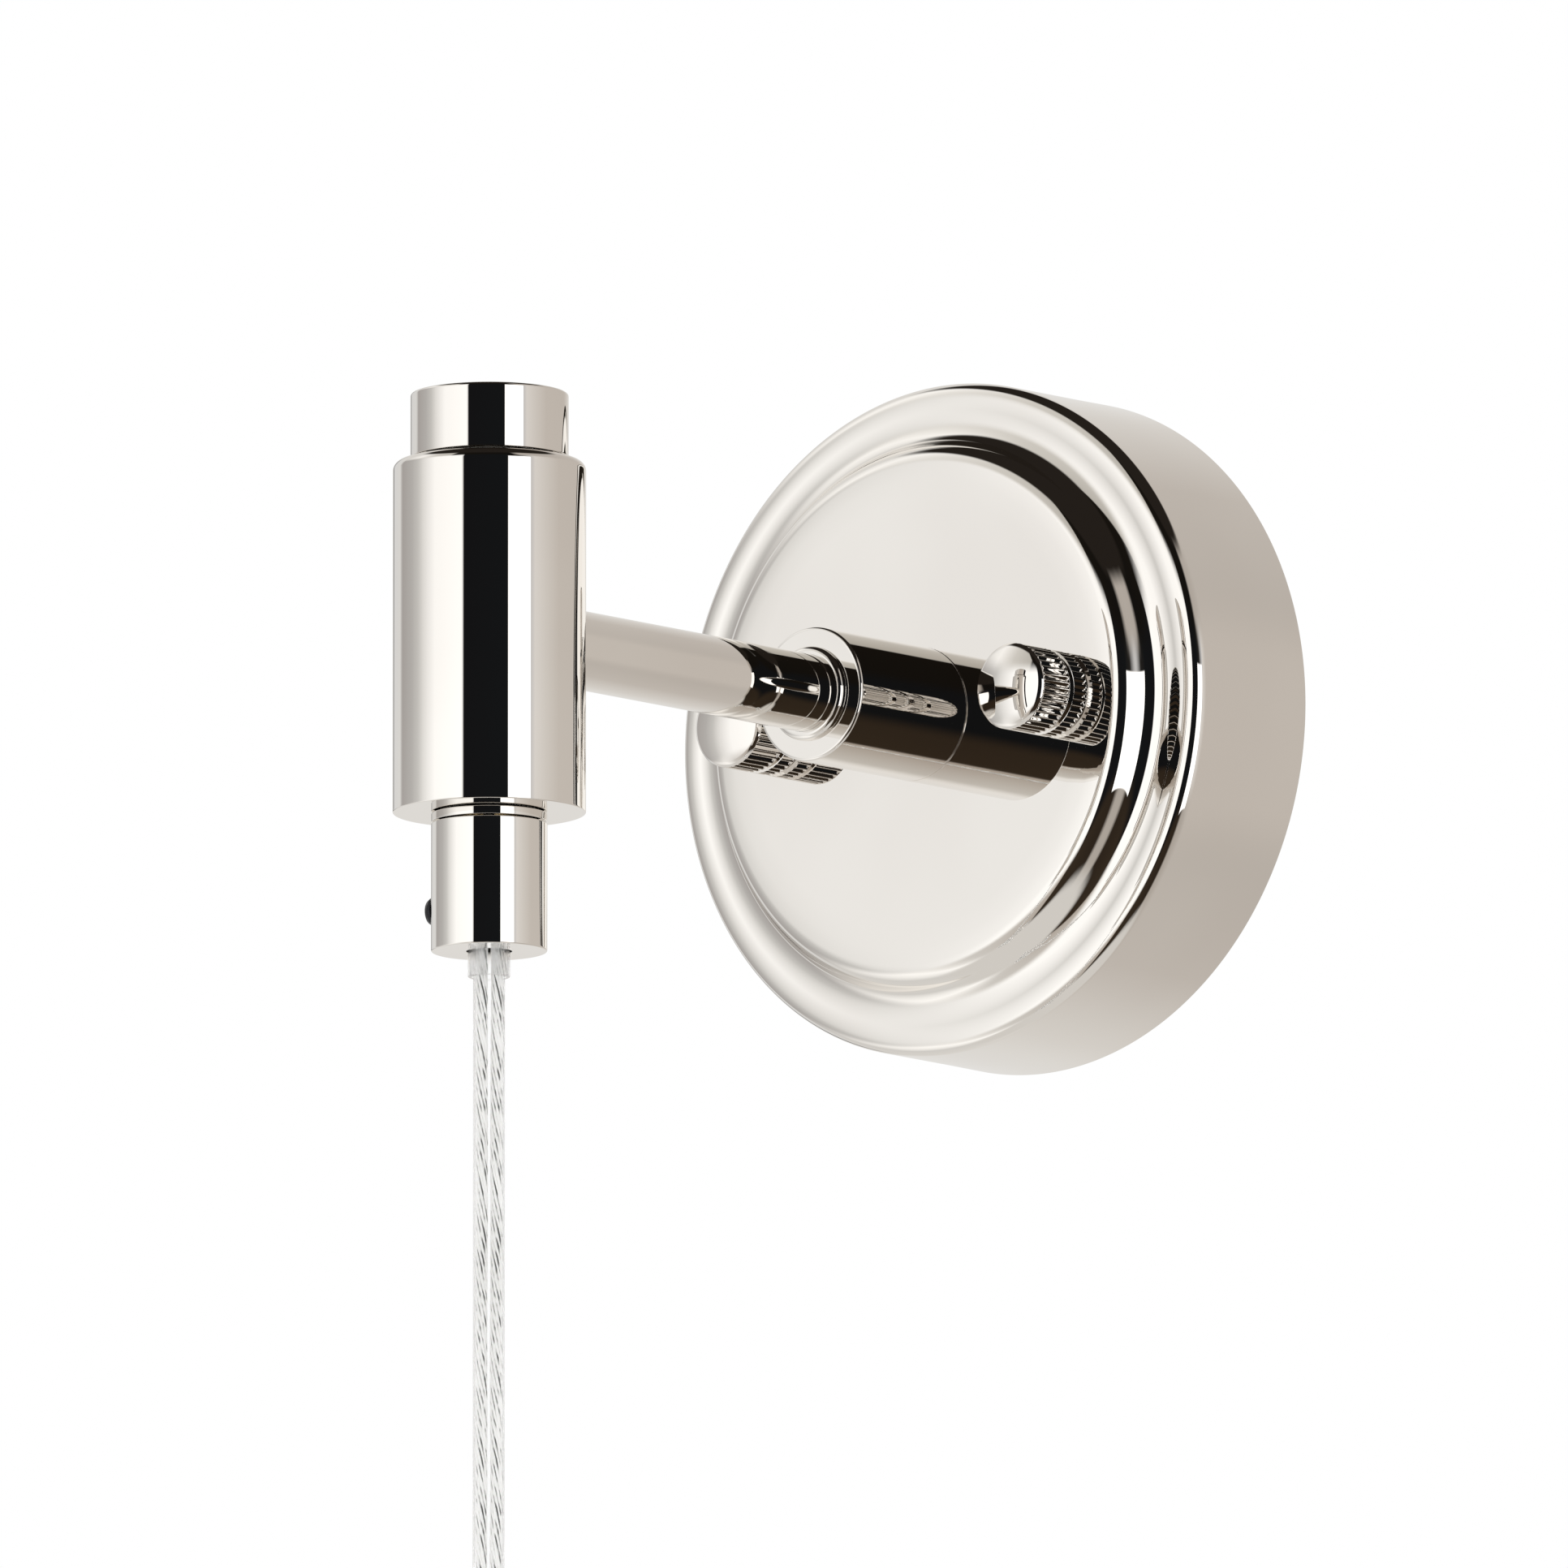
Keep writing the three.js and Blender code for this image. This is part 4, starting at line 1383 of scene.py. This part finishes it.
def star_point(
    v: Vector, inner: float, outer: float, count: int, depth: float = 0.9, above: float = -1e9
) -> Vector:
    """Draws a turned piece's rim in between its points.

    Args:
        v: The point, in millimetres.
        inner: The radius where the shaping starts.
        outer: The radius where it is full.
        count: How many points the rim has.
        depth: How far it is drawn in.
        above: Only points higher than this are moved.

    Returns:
        The moved point.
    """
    r = math.hypot(v.x, v.y)
    if r <= inner or v.z < above:
        return v
    share = min((r - inner) / (outer - inner), 1.0)
    pull = depth * share * (0.5 - 0.5 * math.cos(count * math.atan2(v.y, v.x)))
    return Vector((v.x * (r - pull) / r, v.y * (r - pull) / r, v.z))


def cut(bm: bmesh.types.BMesh, tools: list[bmesh.types.BMesh]) -> bmesh.types.BMesh:
    """Cuts closed meshes out of another.

    Args:
        bm: The mesh to cut. It is freed.
        tools: The meshes to take away. They are freed.

    Returns:
        The cut mesh.
    """
    collection = bpy.context.scene.collection
    made = []
    for source in (bm, *tools):
        mesh = bpy.data.meshes.new("cutting")
        source.to_mesh(mesh)
        source.free()
        made.append(bpy.data.objects.new("cutting", mesh))
        collection.objects.link(made[-1])
    work = made[0]
    for tool in made[1:]:
        change = work.modifiers.new("cut", "BOOLEAN")
        change.operation, change.object, change.solver = "DIFFERENCE", tool, "EXACT"
    result = bmesh.new()
    depsgraph = bpy.context.evaluated_depsgraph_get()
    result.from_object(work, depsgraph)
    for piece in made:
        mesh = piece.data
        bpy.data.objects.remove(piece)
        bpy.data.meshes.remove(mesh)
    return result


# ---------------------------------------------------------------- boss and arm


@dataclass
class Arm(Maker):
    """The boss on the canopy, and the straight arm that stands in it."""

    body: Body = Body.WALL
    boss_r: float = 12.8
    boss_from: float = 38.42
    boss_to: float = 69.4
    arm_r: float = 7.4
    arm_bore: float = 6.0
    arm_from: float = 57.3
    arm_to: float = 150.5
    boss_bore: float = 5.3
    socket_floor: float = 57.0
    socket_play: float = 0.3
    ring_r: float = 9.0
    bead_r: float = 0.65
    bead_inset: float = 0.28
    grommet: tuple[float, float, float, float] = (2.5, 3.3, 150.8, 155.5)  # bore, radius, start, end

    def build(self) -> None:
        """Makes the boss, the arm and the ring round its foot."""
        bore, socket = self.boss_bore, self.arm_r + self.socket_play
        boss = Outline(
            [
                Corner(bore, self.boss_from), Corner(self.boss_r, self.boss_from, 0.25),
                Corner(self.boss_r, self.boss_to, 0.6), Corner(socket, self.boss_to),
                Corner(socket, self.socket_floor), Corner(bore, self.socket_floor),
            ],
            closed=True,
        )
        self.turned("boss_shell", boss, outward(), replaces=("boss",), steps=192)
        arm = Outline(
            [
                Corner(self.arm_bore, self.arm_from), Corner(self.arm_r, self.arm_from, 0.2),
                Corner(self.arm_r, self.arm_to, 0.2), Corner(self.arm_bore, self.arm_to),
            ],
            closed=True,
        )
        self.turned("arm", arm, outward(), replaces=("arm_tube",), steps=144)
        start, inner = Space.of("arm_ring").out[0], self.arm_r + 0.02
        low, high, r = start - self.bead_inset, start + 2 * self.bead_r, self.ring_r
        bead = Outline(
            [Corner(inner, low), Corner(r, low, 0.1), Corner(r, high, 1.1), Corner(inner, high)], closed=True
        )
        self.turned("foot_ring", bead, outward(), replaces=("arm_ring",), steps=144)
        bore, r, low, high = self.grommet
        grommet = Outline(
            [Corner(bore, low), Corner(r, low, 0.15), Corner(r, high, 0.15), Corner(bore, high)], closed=True
        )
        self.turned("lead_grommet", grommet, outward(), NYLON, Slot.NYLON, ("wire_grommet",), 48)


# ---------------------------------------------------------------- barrel and what turns in it


@dataclass
class Barrel(Maker):
    """The upright barrel on the arm's end, and its two bushings."""

    body: Body = Body.WALL
    r: float = 18.2
    bore: float = 8.5
    low: float = -34.3
    high: float = 32.6
    shoulder: float = 1.8
    flange_r: float = 9.6
    flange_deep: float = 1.5
    bushing_bore: float = 6.08
    upper_flange_r: float = 9.4
    lower_flange_r: float = 9.3

    def build(self) -> None:
        """Makes the barrel and the bushings."""
        seat = self.low + self.flange_deep
        shell = Outline(
            [
                Corner(self.flange_r, self.low), Corner(self.r, self.low, 0.22),
                Corner(self.r, self.high, self.shoulder), Corner(self.bore, self.high),
                Corner(self.bore, seat), Corner(self.flange_r, seat),
            ],
            closed=True,
            arc_steps=10,
        )
        self.turned("barrel_shell", shell, upright(), replaces=("barrel",), steps=224)
        inner, outer = self.bushing_bore, self.bore - 0.3
        low, high = Space.of("upper_bushing").heights
        flange = self.upper_flange_r
        upper = [
            Corner(inner, low), Corner(outer, low, 0.2), Corner(outer, high - 0.6),
            Corner(flange, high - 0.6), Corner(flange, high, 0.15), Corner(inner, high),
        ]
        self._bushing("upper", upper)
        low, high = Space.of("lower_bushing").heights
        flange = self.lower_flange_r
        lower = [
            Corner(inner, high), Corner(outer, high, 0.2), Corner(outer, low + 1.25),
            Corner(flange, low + 1.25), Corner(flange, low, 0.1), Corner(inner, low),
        ]
        self._bushing("lower", lower)

    def _bushing(self, name: str, corners: list[Corner]) -> None:
        """Makes one bushing."""
        outline = Outline(corners, closed=True, support=0.04)
        self.turned(f"{name}_bearing", outline, upright(), NYLON, Slot.NYLON, (f"{name}_bushing",), 96)


@dataclass
class Swivel(Maker):
    """The hollow spindle, its cap on top, and its collar with the set screw below."""

    body: Body = Body.SPINDLE
    cap_r: float = 14.9
    collar_r: float = 10.95
    throat: float = 4.3
    screw_z: float = -52.4
    screw_turn: float = 15.0  # degrees round from the left towards the room
    spindle_hole: float = 6.3  # the hole that the spindle stands in
    cap_recess_r: float = 9.8
    cap_recess: float = 2.0
    wave_bore: float = 6.4
    wave_r: float = 9.5
    wave_height: float = 0.3
    wave_count: int = 3

    def build(self) -> None:
        """Makes the cap, the neck ring, the collar and the screw, and dresses the inner pieces."""
        self._cap()
        low, high = Space.of("neck_ring").heights
        ring = Outline(
            [
                Corner(self.spindle_hole, low), Corner(self.collar_r, low, 0.15),
                Corner(self.collar_r, high, 0.2), Corner(self.spindle_hole, high),
            ],
            closed=True,
            support=0.05,
        )
        self.turned("neck_collar", ring, upright(), replaces=("neck_ring",), steps=144)
        self._collar()
        self._set_screw()
        low, high = Space.of("friction_washer").heights
        flat = tube_outline(self.wave_bore, self.wave_r, low + 0.35, high - 0.35)
        washer = spun(flat, upright(), 96, self._wave)
        self.finish(washer, "wave_washer", SPRING, Slot.SPRING, ("friction_washer",))
        dress("spindle", BRASS)
        dress("stop_pin", SPRING)
        for side, name in SIDES:
            heights = (-48.0, -30.0, -10.0, -1.0)
            line = smooth_path([Vector((side * LEAD_X, -AXIS_OUT, z)) * MM for z in heights], 3 * MM)
            lead = rod(line, LEAD_R * MM, LEAD_SIDES)
            self.finish(lead, f"spindle_wire_{name}", WIRE, Slot.WIRE, (f"spindle_lead_{name}",))

    def _wave(self, v: Vector) -> Vector:
        """Lifts and lowers the spring washer as it goes round."""
        return v + Vector((0, 0, self.wave_height * math.sin(self.wave_count * math.atan2(v.y, v.x))))

    def _cap(self) -> None:
        """Makes the cap that is fixed on the spindle's top."""
        low, high = Space.of("cap").heights
        top = Space.of("spindle").high.z
        hole, recess_r = self.spindle_hole, self.cap_recess_r
        cap = Outline(
            [
                Corner(0, top + 0.5), Corner(hole, top + 0.5), Corner(hole, low + self.cap_recess),
                Corner(recess_r, low + self.cap_recess), Corner(recess_r, low, 0.15),
                Corner(self.cap_r, low, 0.2), Corner(self.cap_r, high, 0.55), Corner(10, high),
                Corner(0, high),
            ],
        )
        self.turned("top_cap", cap, upright(), replaces=("cap",), steps=192)

    def _collar(self) -> None:
        """Makes the collar that grips the cord's sleeve."""
        low, high = Space.of("collar").heights
        seat = Space.of("spindle").low.z - 0.5
        hole, r = self.spindle_hole, self.collar_r
        collar = Outline(
            [
                Corner(self.throat, low, 0.12), Corner(r, low, 0.3), Corner(r, high, 0.2), Corner(hole, high),
                Corner(hole, seat), Corner(self.throat, seat),
            ],
            closed=True,
        )
        self.turned("cord_collar", collar, upright(), replaces=("collar",), steps=168)

    def _set_screw(self) -> None:
        """Makes the dark button screw that stands out of the collar's side."""
        r = self.collar_r
        turn = Matrix.Rotation(math.radians(self.screw_turn), 4, "Z")
        side = Matrix.Translation((0, 0, self.screw_z * MM)) @ turn @ Matrix.Rotation(-math.pi / 2, 4, "Y")
        button = Outline(
            [
                Corner(0, r - 1.5), Corner(1.8, r - 1.5), Corner(1.8, r + 0.1), Corner(2.85, r + 0.1, 0.05),
                Corner(2.75, r + 0.7, 0.3), Corner(2.2, r + 1.45, 0.5), Corner(1.3, r + 1.8, 0.15),
                Corner(1.1, r + 1.7), Corner(1.1, r + 0.9), Corner(0, r + 0.9),
            ],
            support=0.02,
        )

        def hexagon(v: Vector) -> Vector:
            """Gives the socket six sides.

            Args:
                v: A point of the turned mesh.

            Returns:
                The moved point.
            """
            if abs(math.hypot(v.x, v.y) - 1.1) >= 0.02:
                return v
            return Vector((v.x, v.y, 0)) * (0.9 / math.cos(math.radians(from_flat(v)))) + Vector((0, 0, v.z))

        screw = spun(button, upright() @ side, 60, hexagon)
        self.finish(screw, "button_screw", BLACK, Slot.BLACK, ("set_screw",))


# ---------------------------------------------------------------- cap nuts


@dataclass
class CapNut(Maker):
    """One knurled cap nut with its washer."""

    side: int = -1
    name: str = "left"
    washer_body: Body = Body.LEFT_WASHER
    r: float = 8.2
    start: float = 38.45
    flutes: int = 40
    depth: float = 0.46
    short_band: tuple[float, float] = (39.3, 42.9)
    long_band: tuple[float, float] = (44.1, 51.75)
    groove_r: float = 7.4
    face: float = 52.3
    apex: float = 53.9
    base_r: float = 7.75
    recess_r: float = 5.6
    recess_end: float = 40.1
    bore: float = 2.3
    bore_end: float = 48.0
    washer_r: float = 5.2
    flute_run: float = 0.75  # the length over which a flute runs out at each end
    flute_power: float = 1.6

    def build(self) -> None:
        """Makes the nut and the washer under it."""
        place = outward(self.side * STUD_X)
        groove = (self.short_band[1] + self.long_band[0]) / 2
        rows = self._band_rows(self.short_band) + [
            Corner(self.r, self.short_band[1]), Corner(self.groove_r, groove - 0.3),
            Corner(self.groove_r, groove + 0.3), Corner(self.r, self.long_band[0]),
        ] + self._band_rows(self.long_band)
        nut = Outline(
            [
                Corner(self.recess_r, self.start), Corner(self.base_r, self.start, 0.1), *rows,
                Corner(self.r, self.long_band[1] + 0.02), Corner(self.r - 0.06, self.long_band[1] + 0.14),
                Corner(self.r - 0.4, self.face - 0.02), *self._dome(), Corner(0.0, self.bore_end),
                Corner(self.bore, self.bore_end), Corner(self.bore, self.recess_end),
                Corner(self.recess_r, self.recess_end),
            ],
            closed=True,
            support=0.05,
        )
        bm = spun(nut, place, self.flutes * 8, self._flute)
        self.finish(bm, f"cap_nut_{self.name}", NICKEL, Slot.NICKEL, (f"knob_{self.name}",), smooth=48)
        node, bore, r = f"knob_washer_{self.name}", self.bore, self.washer_r
        low, high = Space.of(node).out
        ring = Outline(
            [Corner(bore, low), Corner(r, low, 0.1), Corner(r, high, 0.1), Corner(bore, high)],
            closed=True,
            support=0.03,
        )
        washer = Maker(self.washer_body)
        washer.turned(f"nut_washer_{self.name}", ring, place, NYLON, Slot.NYLON, (node,), 64)

    def _dome(self) -> list[Corner]:
        """The slightly domed front.

        Returns:
            Its corners, from its rim to its middle.
        """
        rim, rise, steps = self.r - 0.42, self.apex - self.face, 14
        ball = (rim * rim + rise * rise) / (2 * rise)
        radii = [rim * (1 - k / steps) for k in range(steps + 1)]
        return [Corner(r, self.apex - ball + math.sqrt(ball * ball - r * r)) for r in radii]

    def _band_rows(self, band: tuple[float, float]) -> list[Corner]:
        """Rows of corners along a fluted band, closer at its ends.

        Args:
            band: Where the band starts and ends.

        Returns:
            The corners in order.
        """
        low, high = band
        near = [0.08, 0.16, 0.26, 0.38, 0.52, 0.7, 1.0]
        steps = [low + 0.01, *(low + n for n in near), *(high - n for n in reversed(near)), high - 0.01]
        return [Corner(self.r, h) for h in steps]

    def _flute(self, v: Vector) -> Vector:
        """Sinks the flutes, which run out in a round at the ends of the bands.

        Args:
            v: A point of the turned mesh.

        Returns:
            The moved point.
        """
        r = math.hypot(v.x, v.y)
        if r < self.r - 0.02:
            return v
        for low, high in (self.short_band, self.long_band):
            if low <= v.z <= high:
                wave = abs(math.sin(self.flutes / 2 * math.atan2(v.y, v.x)))
                end = min((v.z - low) / self.flute_run, (high - v.z) / self.flute_run, 1.0)
                fade = math.sqrt(max(1 - (1 - end) ** 2, 0.0))
                pull = self.depth * (1 - wave**self.flute_power) * fade
                return Vector((v.x * (r - pull) / r, v.y * (r - pull) / r, v.z))
        return v


def main() -> None:
    """Builds the sconce."""
    logging.basicConfig(level=logging.INFO, format="%(name)s: %(message)s")
    Studio().build()
    CordSet().build()
    WallPlate().build()
    Arm().build()
    Barrel().build()
    Swivel().build()
    CapNut(Body.LEFT_KNOB, -1, "left", Body.LEFT_WASHER).build()
    CapNut(Body.RIGHT_KNOB, 1, "right", Body.RIGHT_WASHER).build()


if __name__ == "__main__":
    main()
